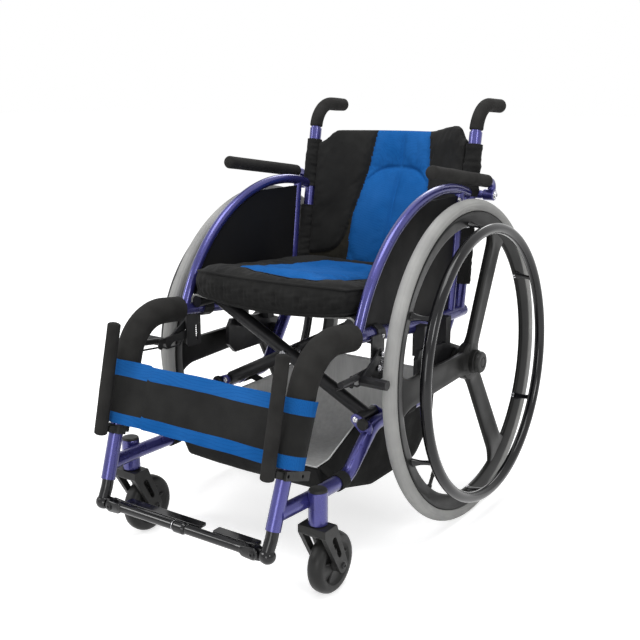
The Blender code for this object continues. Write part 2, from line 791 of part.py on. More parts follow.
plate_outline = [(-0.150, -0.005), (-0.150, 0.032), (-0.140, 0.047), (-0.030, 0.039), (0.030, 0.017)]
plate_outline += [(0.030, -0.011), (0.015, -0.025), (-0.130, -0.025)]
plate_outline = [(y, AXLE_Z + z) for y, z in plate_outline]
axle_plate = plate_x(plate_outline, PLATE_X, PLATE_OUT_X)
ears = []
for ear_y in EARS_Y:
    ear_low = (FRAME_X + 0.006, ear_y - EAR_HALF, AXLE_Z + EAR_LAP)
    ears.append(block(ear_low, (PLATE_OUT_X, ear_y + EAR_HALF, SEAT_Z + TUBE_R)))
bearing = pin(on_axle(pin_inner - 0.001), on_axle(-HUB_INNER - CLEAR), AXLE_BLOCK_R, 16)
axle_plate = join(axle_plate, *ears, bearing)
axle_plate = cut(
    axle_plate,
    tube(seat_path, TUBE_R + CLEAR),
    tube(rail_path, TUBE_R + CLEAR),
    turning_hole(on_axle(pin_inner - 0.01), on_axle(0), AXLE_PIN_R),
)
keep_pair("axle_plate", axle_plate, "black_metal")

# Armrest: a bent tube with its eye on the back post, and the round pad

arm_corners = in_plane(ARM_X, [ARM_TUBE_START, ARM_REAR, ARM_BACK, ARM_PIVOT])
arm_path = rounded(arm_corners, (0.05, ARM_BEND_R), 20)
arm_eye = pin((ARM_X - ARM_EYE_R, *ARM_PIVOT), (ARM_X + ARM_EYE_R, *ARM_PIVOT), ARM_EYE_R, 12)
arm_tube = join(tube(arm_path, ARM_TUBE_R, 10), arm_eye)
arm_hole = turning_hole((ARM_X - 0.05, *ARM_PIVOT), (ARM_X + 0.05, *ARM_PIVOT), ARM_BOLT_R)
keep_pair("armrest_tube", cut(arm_tube, arm_hole), "frame_purple", "armrest")

arm_front = Vector((ARM_X, *ARM_FRONT))
arm_rear = Vector((ARM_X, *ARM_REAR))
arm_way = (arm_front - arm_rear).normalized()
pad_path = [arm_rear, arm_front - arm_way * 0.008, arm_front - arm_way * 0.003, arm_front]
pad = tube(pad_path, [ARM_PAD_R, ARM_PAD_R, ARM_PAD_R * 0.85, ARM_PAD_R * 0.5])
pad = cut(pad, tube([point_at(arm_path, 0) + arm_way * CLEAR, *arm_path[1:4]], ARM_TUBE_R + CLEAR, 10))
keep_pair("armrest_pad", pad, "black_foam", "armrest")

# Knee foam round the bend of the seat tube

foam_start = distance_to(seat_path, 1, FOAM_FROM_Y)
foam_end = distance_to(seat_path, 2, FOAM_END_Z)
foam_way = portion(seat_path, foam_start, foam_end)
foam_bore = portion(seat_path, foam_start - 0.01, foam_end + 0.01)
foam = cut(tube(foam_way, FOAM_R, 12), tube(foam_bore, TUBE_R + CLEAR))
keep_pair("knee_pad", foam, "black_foam")

# Leg guard: a padded rod in front of the leg, on a bracket clamped to the leg

pad_top = Vector((PAD_X, *PAD_TOP))
pad_bottom = Vector((PAD_X, *PAD_BOTTOM))
pad_way = (pad_top - pad_bottom).normalized()
guard_pad = tube(
    [pad_bottom, pad_bottom + pad_way * 0.003, pad_top - pad_way * 0.004, pad_top],
    [PAD_R - 0.002, PAD_R, PAD_R, PAD_R - 0.004],
)
bracket_leg_x = leg_x(BRACKET_Z)
pad_slope = (PAD_TOP[0] - PAD_BOTTOM[0]) / (PAD_TOP[1] - PAD_BOTTOM[1])
pad_reach = PAD_BOTTOM[0] + pad_slope * (BRACKET_Z - PAD_BOTTOM[1]) - leg_y(BRACKET_Z)
pad_back = pad_reach / (math.cos(LEG_LEAN) + pad_slope * math.sin(LEG_LEAN))
rod_start = by_leg(PAD_X, pad_back + PAD_R + 0.006, BRACKET_Z)
rod_end = by_leg(PAD_X, pad_back - 0.004, BRACKET_Z)
rod_bore = pin(rod_start, by_leg(PAD_X, pad_back - 0.004 - CLEAR, BRACKET_Z), PAD_ROD_R + CLEAR)
keep_pair("leg_guard_pad", cut(guard_pad, rod_bore), "black_foam")

half_band = BRACKET_H / 2
band = (-half_band, half_band)
collar_plan = circle((bracket_leg_x, 0), TUBE_R + 0.0045)
collar = hull([by_leg(x, back, BRACKET_Z, along) for x, back in collar_plan for along in band])
face_span = (-TUBE_R - 0.0075, BRACKET_BACK)
face_plate = hull(
    [
        by_leg(x, back, BRACKET_Z, along)
        for x in (BRACKET_FACE_X - BRACKET_WALL, BRACKET_FACE_X)
        for back in face_span
        for along in band
    ]
)
arm_front = pad_back + PAD_R + PAD_GAP
arm_plan = [(PAD_X - 0.007, arm_front), (PAD_X + 0.007, arm_front)]
arm_plan += [(bracket_leg_x - 0.012, -0.008), (BRACKET_FACE_X - 0.0005, -0.008)]
front_arm = hull([by_leg(x, back, BRACKET_Z, along * 0.7) for x, back in arm_plan for along in band])
rod = pin(rod_start, rod_end, PAD_ROD_R)
holes = []
for back in BRACKET_HOLES:
    hole_inner = by_leg(BRACKET_FACE_X - 0.010, back, BRACKET_Z)
    holes.append(pin(hole_inner, by_leg(BRACKET_FACE_X + 0.010, back, BRACKET_Z), BRACKET_HOLE_R))
bracket = join(collar, face_plate, front_arm, rod)
bracket = cut(bracket, tube(seat_path, TUBE_R + CLEAR), *holes)
keep_pair("leg_guard_bracket", bracket, "black_plastic")

# Footrest slider in the leg, with the lug and the screw of the footrest hinge

slider_top = leg_end - leg_down * SLIDER_INSIDE
slider_foot = Vector((LEG_X - 0.001, HINGE_Y + 0.001, HINGE_Z + 0.008))
slider = tube([slider_top, leg_end + leg_down * 0.014, slider_foot], SLIDER_R)
lug = plate_y(
    circle((HINGE_X, HINGE_Z), LUG_R) + circle((LEG_X - 0.001, HINGE_Z + 0.004), LUG_R - 0.001),
    HINGE_Y - LUG_HALF,
    HINGE_Y + LUG_HALF,
)
lug_ball = plate_y(circle((LEG_X, HINGE_Z + 0.003), LUG_R), HINGE_Y - EYE_HALF, HINGE_Y + EYE_HALF)
screw_ends = [(HINGE_X, HINGE_Y + side * (EYE_HALF + 0.002), HINGE_Z) for side in (-1, 1)]
screw = pin(*screw_ends, HINGE_PIN_R)
screw_heads = [
    pin(
        (HINGE_X, HINGE_Y + side * (EYE_HALF + CLEAR), HINGE_Z),
        (HINGE_X, HINGE_Y + side * (EYE_HALF + CLEAR + PIN_HEAD_T), HINGE_Z),
        PIN_HEAD_R,
    )
    for side in (-1, 1)
]
keep_pair("footrest_slider", join(slider, lug, lug_ball, screw, *screw_heads), "black_metal")


# Footrest halves: a round bar on the hinge, a foot plate behind it, and the middle knuckle

def footrest_half(side, plate_inner_x, forked):
    """One half, with its eye round the hinge screw. The left ends in a tongue, the right in a fork."""
    hinge = side * HINGE_X
    full_x = side * KNUCKLE_REACH
    bar = pin((hinge - side * 0.016, HINGE_Y, HINGE_Z), (full_x, HINGE_Y, HINGE_Z), BAR_R)
    eyes = plate_y(
        circle((hinge, HINGE_Z), EYE_R) + circle((hinge - side * 0.020, HINGE_Z), EYE_R - 0.001),
        HINGE_Y - EYE_HALF,
        HINGE_Y + EYE_HALF,
    )
    knuckle_half = EYE_HALF if forked else TONGUE_HALF
    knuckle = plate_y(
        circle((0, HINGE_Z), KNUCKLE_R) + circle((full_x + side * 0.004, HINGE_Z), BAR_R - 0.0005),
        HINGE_Y - knuckle_half,
        HINGE_Y + knuckle_half,
    )
    plate = block(
        (min(plate_inner_x, side * PLATE_OUTER_X), PLATE_FRONT_Y, HINGE_Z - PLATE_T / 2),
        (max(plate_inner_x, side * PLATE_OUTER_X), PLATE_REAR_Y, HINGE_Z + PLATE_T / 2),
    )
    web_inner = side * (PLATE_OUTER_X - 0.030)
    web = block(
        (min(web_inner, side * PLATE_OUTER_X), HINGE_Y, HINGE_Z - PLATE_T / 2 + 0.0005),
        (max(web_inner, side * PLATE_OUTER_X), PLATE_FRONT_Y + 0.002, HINGE_Z + PLATE_T / 2 - 0.0005),
    )
    half = join(bar, eyes, knuckle, plate, web)
    slot_r = LUG_R + LUG_ROOM
    lug_slot = plate_y(
        circle((hinge, HINGE_Z), slot_r) + circle((hinge + side * 0.03, HINGE_Z), slot_r),
        HINGE_Y - LUG_HALF - CLEAR,
        HINGE_Y + LUG_HALF + CLEAR,
    )
    hole_ends = [(hinge, HINGE_Y + reach, HINGE_Z) for reach in (-0.05, 0.05)]
    screw_hole = turning_hole(*hole_ends, HINGE_PIN_R)
    cutters = [lug_slot, screw_hole]
    if forked:
        slot_half = TONGUE_HALF + CLEAR
        cutters.append(
            block(
                (full_x, HINGE_Y - slot_half, HINGE_Z - 0.03),
                (0.03, HINGE_Y + slot_half, HINGE_Z + 0.03),
            )
        )
    return cut(half, *cutters)


keep("left_footrest_half", footrest_half(1, LEFT_PLATE_INNER_X, False), "black_metal", "left_footrest")
keep("right_footrest_half", footrest_half(-1, RIGHT_PLATE_INNER_X, True), "black_metal", "right_footrest")


# Cross brace: each arm has its foot sleeve, its seat rail and the hole of the middle bolt

cross_z = (PIVOT_Z + SEAT_RAIL_Z) / 2


def cross_arm(side, y, span):
    """The arm whose foot is on this side and whose seat rail is on the other."""
    foot = Vector((side * PIVOT_X, y, PIVOT_Z))
    head_end = Vector((-side * PIVOT_X, y, SEAT_RAIL_Z))
    way = (head_end - foot).normalized()
    bar = tube([foot, head_end - way * 0.008], TUBE_R, 12, (0, 1, 0))
    front, rear = span
    sleeve_ends = (front + BRACKET_T + CLEAR, rear - BRACKET_T - CLEAR)
    sleeve = pin((foot.x, sleeve_ends[0], PIVOT_Z), (foot.x, sleeve_ends[1], PIVOT_Z), PIVOT_SLEEVE_R)
    seat_rail = pin(
        (head_end.x, SEAT_RAIL_FRONT_Y, SEAT_RAIL_Z),
        (head_end.x, SEAT_RAIL_REAR_Y, SEAT_RAIL_Z),
        SEAT_RAIL_R,
    )
    arm = join(bar, sleeve, seat_rail)
    return cut(
        arm,
        turning_hole((foot.x, front - 0.02, PIVOT_Z), (foot.x, rear + 0.02, PIVOT_Z), PIVOT_PIN_R),
        turning_hole((0, y - 0.05, cross_z), (0, y + 0.05, cross_z), CROSS_BOLT_R),
    )


keep("cross_arm_a", cross_arm(1, ARM_A_Y, BRACKET_A), "black_metal", "cross_foot_a")
keep("cross_arm_b", cross_arm(-1, ARM_B_Y, BRACKET_B), "black_metal", "cross_middle")

bolt_front = ARM_A_Y - TUBE_R - CLEAR
bolt_rear = ARM_B_Y + TUBE_R + CLEAR
spacer_front = ARM_A_Y + TUBE_R + CLEAR
spacer_rear = ARM_B_Y - TUBE_R - CLEAR
cross_bolt = pin((0, bolt_front - 0.004, cross_z), (0, bolt_rear + 0.004, cross_z), CROSS_BOLT_R)
cross_bolt = join(
    cross_bolt,
    pin((0, bolt_front - 0.005, cross_z), (0, bolt_front, cross_z), CROSS_HEAD_R),
    pin((0, bolt_rear, cross_z), (0, bolt_rear + 0.005, cross_z), CROSS_HEAD_R),
    pin((0, spacer_front, cross_z), (0, spacer_rear, cross_z), CROSS_HEAD_R + 0.002),
)
keep("cross_bolt", cross_bolt, "steel", "cross_foot_a")

# Seat saddle: clamped on the seat tube, open upwards for the seat rail

saddle_tube = point_at(seat_path, distance_to(seat_path, 1, sum(SADDLE_Y) / 2))
wrap_r = SEAT_RAIL_R + CLEAR + SLING_T + SOFT_CLEAR


def saddle_outline(grow):
    around_tube = circle((FRAME_X, saddle_tube.z), TUBE_R + SADDLE_T + grow)
    return around_tube + circle((PIVOT_X, SEAT_RAIL_Z - 0.006), wrap_r + 0.001 + grow)


saddle_piece = cut(
    plate_y(saddle_outline(0), *SADDLE_Y),
    tube(seat_path, TUBE_R + CLEAR),
    pin((PIVOT_X, -0.3, SEAT_RAIL_Z), (PIVOT_X, 0.0, SEAT_RAIL_Z), wrap_r, 16),
    block((PIVOT_X - wrap_r, -0.3, SEAT_RAIL_Z), (PIVOT_X + wrap_r, 0.0, SEAT_RAIL_Z + 0.05)),
)
keep_pair("seat_saddle", saddle_piece, "black_plastic")

# Brake: a clamp with its plate, the lever with its link rod, and the shoe in front of the tyre

plate_outline = [(BRAKE_Y[0], BRAKE_PLATE_Z[0] + 0.006), (BRAKE_Y[0] + 0.006, BRAKE_PLATE_Z[0])]
plate_outline += [(BRAKE_Y[1], BRAKE_PLATE_Z[0])] + [(y, BRAKE_PLATE_Z[1]) for y in reversed(BRAKE_Y)]
drop_plate = plate_x(plate_outline, BRAKE_PLATE_X, BRAKE_PLATE_X + BRAKE_PLATE_T)
lever_x = BRAKE_PLATE_X + BRAKE_PLATE_T + CLEAR
shoe_x = lever_x + LEVER_T + 2 * CLEAR
brake_mount = join(tube(stretched(seat_path, BRAKE_CLAMP_Y, 0), CLAMP_R), drop_plate)
slot_ends = [circle((BRAKE_SLOT_Y, z), BRAKE_PIN_R, 10) for z in BRAKE_SLOT_Z]
brake_slot = plate_x(slot_ends[0] + slot_ends[1], FRAME_X, FRAME_X + 0.03)
brake_mount = cut(brake_mount, tube(seat_path, TUBE_R + CLEAR), brake_slot)
pin_root_x = BRAKE_PLATE_X + BRAKE_PLATE_T / 2
brake_pins = [pin((pin_root_x, *SHOE_PIVOT), (shoe_x - CLEAR, *SHOE_PIVOT), BRAKE_SPACER_R)]
for place, outer_x in ((LEVER_PIVOT, lever_x + LEVER_T), (SHOE_PIVOT, shoe_x + SHOE_ARM_T)):
    head_x = outer_x + CLEAR
    brake_pins.append(pin((pin_root_x, *place), (head_x, *place), BRAKE_PIN_R))
    brake_pins.append(pin((head_x, *place), (head_x + BRAKE_HEAD_T, *place), BRAKE_HEAD_R))
keep_pair("brake_mount", join(brake_mount, *brake_pins), "black_metal")

lever_plate = plate_x(
    circle(LEVER_PIVOT, 0.009) + circle((LEVER_GRIP_Y, LEVER_PIVOT[1]), 0.005),
    lever_x,
    lever_x + LEVER_T,
)
grip_line = [(LEVER_GRIP_Y + 0.006, LEVER_PIVOT[1]), (LEVER_END_Y, LEVER_PIVOT[1] + 0.006)]
lever_grip = tube([(LEVER_GRIP_X, *grip_line[0]), (LEVER_END_X, *grip_line[1])], LEVER_GRIP_R, 10)
lever_y, lever_z = LEVER_PIVOT
link_line = [(lever_y - 0.017, lever_z - 0.005), (lever_y - 0.028, lever_z - 0.0165)]
link_line += [(lever_y - 0.063, lever_z - 0.016), (lever_y - 0.078, lever_z - 0.010)]
link_line += [(LEVER_END_Y + 0.006, lever_z - 0.0055)]
lever_rod = tube(in_plane(lever_x + LINK_R, link_line), LINK_R, 8)
clip_y = lever_y - 0.080
clip_ends = circle((clip_y, lever_z), 0.006, 10) + circle((clip_y, lever_z - 0.010), 0.005, 10)
rod_clip = plate_x(clip_ends, lever_x, lever_x + LEVER_T)
lever = join(lever_plate, lever_grip, lever_rod, rod_clip)
lever = cut(lever, turning_hole((0.19, *LEVER_PIVOT), (0.23, *LEVER_PIVOT), BRAKE_PIN_R))
keep_pair("brake_lever", lever, "black_metal", "brake_lever")

shoe_arm = plate_x(circle(SHOE_PIVOT, 0.0085) + circle(SHOE_AT, 0.007), shoe_x, shoe_x + SHOE_ARM_T)
shoe_bar = pin((shoe_x, *SHOE_AT), (SHOE_OUTER_X, *SHOE_AT), SHOE_R)
shoe = cut(join(shoe_arm, shoe_bar), turning_hole((0.19, *SHOE_PIVOT), (0.24, *SHOE_PIVOT), BRAKE_PIN_R))
keep_pair("brake_shoe", shoe, "black_metal", "brake_shoe")


# Side guard: a flat panel in the opening of the arch

GUARD_DROP = 0.007
GUARD_FRONT_Y = TYRE_FRONT_Y + 0.027
guard_edge_r = ARCH_BEND_R - ARCH_TUBE_R - CLEAR
guard_top_z = AXLE_Z + guard_edge_r - GUARD_DROP
guard_arc = []
for degrees in np.arange(arch_from - ARCH_STEP, 90, -4):
    y, z = on_arch(degrees, guard_edge_r)
    if z < guard_top_z:
        guard_arc.append((y, z))
arc_end_y = -math.sqrt(guard_edge_r**2 - (guard_top_z - AXLE_Z) ** 2)
strut_edge = STRUT_R + CLEAR
guard_foot_z = point_at(seat_path, distance_to(seat_path, 1, GUARD_FRONT_Y)).z
guard_outline = [
    (SEAT_LEVEL_END_Y, SEAT_Z),
    SEAT_RISE,
    (GUARD_FRONT_Y, guard_foot_z),
    *guard_arc,
    (arc_end_y, guard_top_z),
    (strut_path[2].y - strut_edge, guard_top_z),
    (strut_path[1].y - strut_edge, strut_path[1].z),
    (strut_path[0].y - strut_edge, SEAT_Z),
]
guard = prism(guard_outline, GUARD_X - GUARD_HALF, GUARD_X + GUARD_HALF, 0)
guard = cut(
    guard,
    tube(seat_path, TUBE_R + CLEAR),
    tube(arch_path, ARCH_TUBE_R + CLEAR, 8),
    tube(strut_path, STRUT_R + CLEAR, 8),
    tube(stretched(seat_path, BRAKE_CLAMP_Y, CLEAR), CLAMP_R + CLEAR),
    plate_y(saddle_outline(CLEAR), SADDLE_Y[0] - CLEAR, SADDLE_Y[1] + CLEAR),
)
keep_pair("side_guard", guard, "black_plastic")


# Seat sling: one sheet over both seat rails, screwed to their outer sides

def sling_low(x):
    """Height of the sling's under side between the rails."""
    return SEAT_RAIL_Z + SEAT_RAIL_R + CLEAR - SLING_SAG * (1 - (x / PIVOT_X) ** 2)


def sling_line(offset):
    """Half of the section, from the outer side of the left rail to the middle."""
    radius = SEAT_RAIL_R + CLEAR + offset
    wrap = [math.radians(angle) for angle in range(-12, 90, 17)]
    line = [(PIVOT_X + radius * math.cos(a), SEAT_RAIL_Z + radius * math.sin(a)) for a in wrap]
    line += [(PIVOT_X * k / 5, sling_low(PIVOT_X * k / 5) + offset) for k in range(5, -1, -1)]
    return line


def across_chair(line):
    return line + [(-x, z) for x, z in reversed(line[:-1])]


under = across_chair(sling_line(0.0))
over = across_chair(sling_line(SLING_T))
sling = prism(under + over[::-1], SEAT_RAIL_FRONT_Y, SEAT_RAIL_REAR_Y, 1)
keep("seat_sling", sling, "black_fabric", "seat")


def closed_pad(front, rear, edge):
    """A pad from two grids of points that share their size, joined round the edge through one more line."""
    rows, columns = front.shape[:2]
    points = [tuple(p) for p in front.reshape(-1, 3)] + [tuple(p) for p in rear.reshape(-1, 3)]
    faces = []
    shift = rows * columns
    for r in range(rows - 1):
        for c in range(columns - 1):
            a = r * columns + c
            quad = (a, a + 1, a + columns + 1, a + columns)
            faces.append(quad)
            faces.append(tuple(shift + n for n in reversed(quad)))
    ring = [c for c in range(columns - 1)]
    ring += [r * columns + columns - 1 for r in range(rows - 1)]
    ring += [(rows - 1) * columns + c for c in range(columns - 1, 0, -1)]
    ring += [r * columns for r in range(rows - 1, 0, -1)]
    start = len(points)
    for n in ring:
        points.append(tuple(edge(Vector(points[n]), Vector(points[shift + n]))))
    count = len(ring)
    for k in range(count):
        after = (k + 1) % count
        faces.append((ring[k], ring[after], start + after, start + k))
        faces.append((start + k, start + after, shift + ring[after], shift + ring[k]))
    return solid(points, faces)


# Seat cushion: crowned, drawn in at its sides, with the sewn lines of the middle panel

SEAT_STRIPE = 0.100
SEAT_STRIPE_FRONT_Y = -0.262
half_columns = [0.0, 0.033, 0.067, SEAT_STRIPE, 0.128, 0.155, CUSHION_HALF - 0.004]
cushion_x = np.array([-x for x in half_columns[:0:-1]] + half_columns)
front_y, rear_y = CUSHION_Y
cushion_rows = [front_y + 0.004, -0.290, SEAT_STRIPE_FRONT_Y, -0.225, -0.185, -0.145, -0.105, -0.065]
cushion_y = np.array(cushion_rows + [-0.025, 0.015, 0.043, rear_y - 0.003])
CORNER = 0.22
grid_x, grid_y = np.meshgrid(cushion_x, cushion_y)
u = grid_x / (CUSHION_HALF - 0.004)
middle_y = (front_y + rear_y) / 2
half_y = (rear_y - front_y) / 2
v = (grid_y - middle_y) / half_y
pulled_x = grid_x * np.sqrt(1 - CORNER * np.abs(v) ** 6)
pulled_y = middle_y + (grid_y - middle_y) * np.sqrt(1 - CORNER * 0.7 * np.abs(u) ** 6)
seam_z = np.interp(grid_y, CUSHION_Y, CUSHION_TOP_Z)
crown = CUSHION_CROWN * (1 - np.abs(u) ** 4) * (1 - np.abs(v) ** 4)
on_side_seam = np.isclose(np.abs(grid_x), SEAT_STRIPE) & (grid_y >= SEAT_STRIPE_FRONT_Y)
on_front_seam = np.isclose(grid_y, SEAT_STRIPE_FRONT_Y) & (np.abs(grid_x) <= SEAT_STRIPE + 1e-6)
sewn = CHANNEL * (on_side_seam | on_front_seam)
top = np.stack([pulled_x, pulled_y, seam_z + crown - sewn], axis=-1)
flat_z = SEAT_RAIL_Z + SEAT_RAIL_R + CLEAR + SLING_T + SOFT_CLEAR
bottom_z = flat_z - SLING_SAG * np.clip(1 - (pulled_x / PIVOT_X) ** 2, 0, 1)
bottom = np.stack([pulled_x * 0.985, middle_y + (pulled_y - middle_y) * 0.985, bottom_z], axis=-1)


def bulge(first, second):
    """The side of the cushion stands 4 mm proud of its sewn edges."""
    middle = (first + second) / 2
    outward = Vector((middle.x, (middle.y - middle_y), 0)).normalized()
    return middle + outward * 0.0035


keep("seat_cushion", closed_pad(top, bottom, bulge), "black_fabric", "seat")


# Backrest: a hollowed pad between the posts with a sleeve round each post

def stripe_half(z):
    """Half width of the middle panel, which widens towards the seat."""
    return 0.062 + 0.036 * max(0.0, (0.63 - z) / 0.18) ** 1.5


def back_sag(z):
    """How far the middle of the backrest hangs behind the posts."""
    return float(np.interp(z, (0.45, 0.53, 0.58, 0.645, 0.72), (0.020, 0.037, 0.048, 0.068, 0.070)))


def back_top(x):
    """The top edge drops to the sleeves beside the raised panel."""
    drop = min(1.0, max(0.0, (abs(x) - 0.140) / 0.022))
    return BACK_TOP_Z - (BACK_TOP_Z - SLEEVE_TOP_Z + 0.006) * drop * drop * (3 - 2 * drop)


ARCH_SEAM_Z = 0.645
ARCH_SEAM_DROP = 0.034
ROWS_BELOW, ROWS_ABOVE = 6, 3
COLUMNS_IN, COLUMNS_OUT = 2, 4
front = np.zeros((ROWS_BELOW + ROWS_ABOVE + 1, 2 * (COLUMNS_IN + COLUMNS_OUT) + 1, 3))
rear = np.zeros_like(front)
for c in range(-COLUMNS_IN - COLUMNS_OUT, COLUMNS_IN + COLUMNS_OUT + 1):
    share_in = min(1.0, abs(c) / COLUMNS_IN)
    share_out = max(0.0, (abs(c) - COLUMNS_IN) / COLUMNS_OUT)
    seam_here = ARCH_SEAM_Z - ARCH_SEAM_DROP * share_in**2
    for r in range(ROWS_BELOW + ROWS_ABOVE + 1):
        if r <= ROWS_BELOW:
            z = BACK_BOTTOM_Z + (seam_here - BACK_BOTTOM_Z) * r / ROWS_BELOW
        else:
            guess = stripe_half(BACK_TOP_Z) * share_in
            reach = guess + (BACK_HALF - stripe_half(BACK_TOP_Z)) * share_out
            z = seam_here + (back_top(reach) - seam_here) * (r - ROWS_BELOW) / ROWS_ABOVE
        inner = stripe_half(z)
        x = math.copysign(inner * share_in + (BACK_HALF - inner) * share_out, c) if c else 0.0
        hollow = back_sag(z) * (1 - (abs(x) / BACK_HALF) ** 2.2)
        puff = 0.0
        on_seam = c == 0 or abs(c) == COLUMNS_IN or (r == ROWS_BELOW and abs(c) < COLUMNS_IN)
        if not on_seam and abs(c) < COLUMNS_IN + COLUMNS_OUT - 1:
            puff = CHANNEL
        edge_in = 0.004 if r in (0, ROWS_BELOW + ROWS_ABOVE) else 0.0
        y = post_y(z) - 0.012 + hollow
        front[r, c + COLUMNS_IN + COLUMNS_OUT] = (x, y - puff + edge_in, z)
        rear[r, c + COLUMNS_IN + COLUMNS_OUT] = (x, y + BACK_T - edge_in, z)


def back_edge(first, second):
    """The rim of the pad is rounded away from its middle."""
    middle = (first + second) / 2
    lift = 0.002 if middle.z > (BACK_TOP_Z + BACK_BOTTOM_Z) / 2 else -0.002
    return middle + Vector((0, 0, lift))


panel = closed_pad(front, rear, back_edge)
sleeve_start = distance_to(post_path, 2, BACK_BOTTOM_Z + 0.004)
sleeve_end = distance_to(post_path, 2, SLEEVE_TOP_Z)
sleeve_way = portion(post_path, sleeve_start, sleeve_end)
sleeve_bore = portion(post_path, sleeve_start - 0.025, sleeve_end + 0.018)
sleeves = [tube([(side * p.x, p.y, p.z) for p in sleeve_way], SLEEVE_R) for side in (-1, 1)]
bores = [tube([(side * p.x, p.y, p.z) for p in sleeve_bore], TUBE_R + CLEAR) for side in (-1, 1)]
NOTCH_Z = (ARM_PIVOT[1] - 0.043, ARM_PIVOT[1] + 0.027)
notches = []
for side in (-1, 1):
    edges = sorted((side * (POST_X - TUBE_R), side * (POST_X + 0.04)))
    notches.append(block((edges[0], 0.05, NOTCH_Z[0]), (edges[1], 0.20, NOTCH_Z[1])))
backrest = cut(join(panel, *sleeves), *bores, *notches)
keep("backrest", backrest, "black_fabric")


# Calf strap: in front of both foams and round their outer sides

def strap_line(z, out):
    """Half of the strap's line, square to the leg, from the outer side of the left foam to the middle."""
    line = []
    radius = FOAM_R + STRAP_GAP + out
    for degrees in (30, 5, -20, -45, -68, -90):
        angle = math.radians(degrees)
        line.append(by_leg(leg_x(z) + radius * math.cos(angle), radius * math.sin(angle), z))
    edge_x, flat_y, flat_z = line[-1]
    for share in (0.72, 0.36, 0.0):
        line.append((edge_x * share, flat_y + 0.004 * (1 - share), flat_z))
    return line


def strap_points(z, out):
    line = strap_line(z, out)
    return line + [(-x, y, height) for x, y, height in reversed(line[:-1])]


strap_levels = np.array(STRAP_Z)
strap_in = np.array([strap_points(z, 0.0) for z in strap_levels])
strap_out = np.array([strap_points(z, STRAP_T) for z in strap_levels])
keep("calf_strap", closed_pad(strap_out, strap_in, lambda a, b: (a + b) / 2), "blue_fabric")

# Storage bag: a pouch between the lower rails, open at the top, hung on four loops

bag_outer = [(-0.366, 0.173), (-0.350, 0.148), (-0.300, 0.128), (-0.190, 0.097), (-0.030, 0.097)]
bag_outer += [(0.028, 0.128), (0.050, 0.180), (0.052, 0.262), (-0.040, 0.232), (-0.235, 0.232), (-0.330, 0.190)]
bag_inner = [(-0.362, 0.200), (-0.362, 0.174), (-0.347, 0.152), (-0.299, 0.1315), (-0.1895, 0.1005)]
bag_inner += [(-0.0315, 0.1005), (0.0255, 0.1305), (0.0468, 0.181), (0.0488, 0.290)]
bag = prism(bag_outer, -BAG_HALF, BAG_HALF, 0)
bag = cut(bag, prism(bag_inner, -BAG_HALF + BAG_WALL, BAG_HALF - BAG_WALL, 0))
LOOP_R = TUBE_R + 0.003
BAG_LOOPS = ((-0.362, -0.342, 0.1655), (-0.140, -0.115, 0.2245))
WEB_T = 0.005
for side in (-1, 1):
    for loop_front, loop_rear, low in BAG_LOOPS:
        high = low + WEB_T
        way = stretched(rail_path, (loop_front, loop_rear), 0)
        loop = tube([(side * p.x, p.y, p.z) for p in way], LOOP_R)
        edges = sorted((side * (BAG_HALF - BAG_WALL / 2), side * (RAIL_X - 0.006)))
        web = block((edges[0], loop_front, low), (edges[1], loop_rear, high))
        bag = join(bag, web, loop)
        bag = cut(bag, tube([(side * p.x, p.y, p.z) for p in rail_path], TUBE_R + CLEAR))
keep("storage_bag", bag, "black_fabric")

# Pivots: an empty on each joint's axis carries the pieces that turn there

pivots = {"chair": Vector((0, 0, 0)), "right_frame": Vector((-PIVOT_X, ARM_B_Y, PIVOT_Z))}
pivots["cross_foot_a"] = Vector((PIVOT_X, ARM_A_Y, PIVOT_Z))
pivots["cross_middle"] = Vector((0, (ARM_A_Y + ARM_B_Y) / 2, cross_z))
pivots["seat"] = Vector((-PIVOT_X, ARM_A_Y, SEAT_RAIL_Z))
for side, word in ((1, "left"), (-1, "right")):
    pivots[f"{word}_wheel"] = Vector((side * WHEEL_X, 0, AXLE_Z))
    pivots[f"{word}_caster_swivel"] = Vector((side * HEAD_X, HEAD_Y, HEAD_BOTTOM_Z))
    pivots[f"{word}_caster_axle"] = Vector((side * HEAD_X, axle_y, CASTER_R))
    pivots[f"{word}_armrest"] = Vector((side * ARM_X, *ARM_PIVOT))
    pivots[f"{word}_footrest"] = Vector((side * HINGE_X, HINGE_Y, HINGE_Z))
    pivots[f"{word}_brake_lever"] = Vector((side * lever_x, *LEVER_PIVOT))
    pivots[f"{word}_brake_shoe"] = Vector((side * shoe_x, *SHOE_PIVOT))

empties = {}
for name, place in pivots.items():
    empty = bpy.data.objects.new(f"pivot_{name}" if name != "chair" else name, None)
    empty.empty_display_size = 0.03
    bpy.context.scene.collection.objects.link(empty)
    empties[name] = empty
    if name == "chair":
        empty.location = (0, CHAIR_Y, 0)
    else:
        empty.parent = empties["chair"]
        empty.location = place

for shape, pivot in pieces:
    shape.data.transform(Matrix.Translation(-pivots[pivot]))
    shape.parent = empties[pivot]
    shape.data.shade_smooth()
    shape.data.set_sharp_from_angle(angle=math.radians(40))
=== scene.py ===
"""Folding sports wheelchair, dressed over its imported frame. Metres, +Z up, the chair faces -Y.

Every shape is worked out with Y measured from the rear axle: point = grid formula + (0, AXLE_Y, 0).
"""

import math

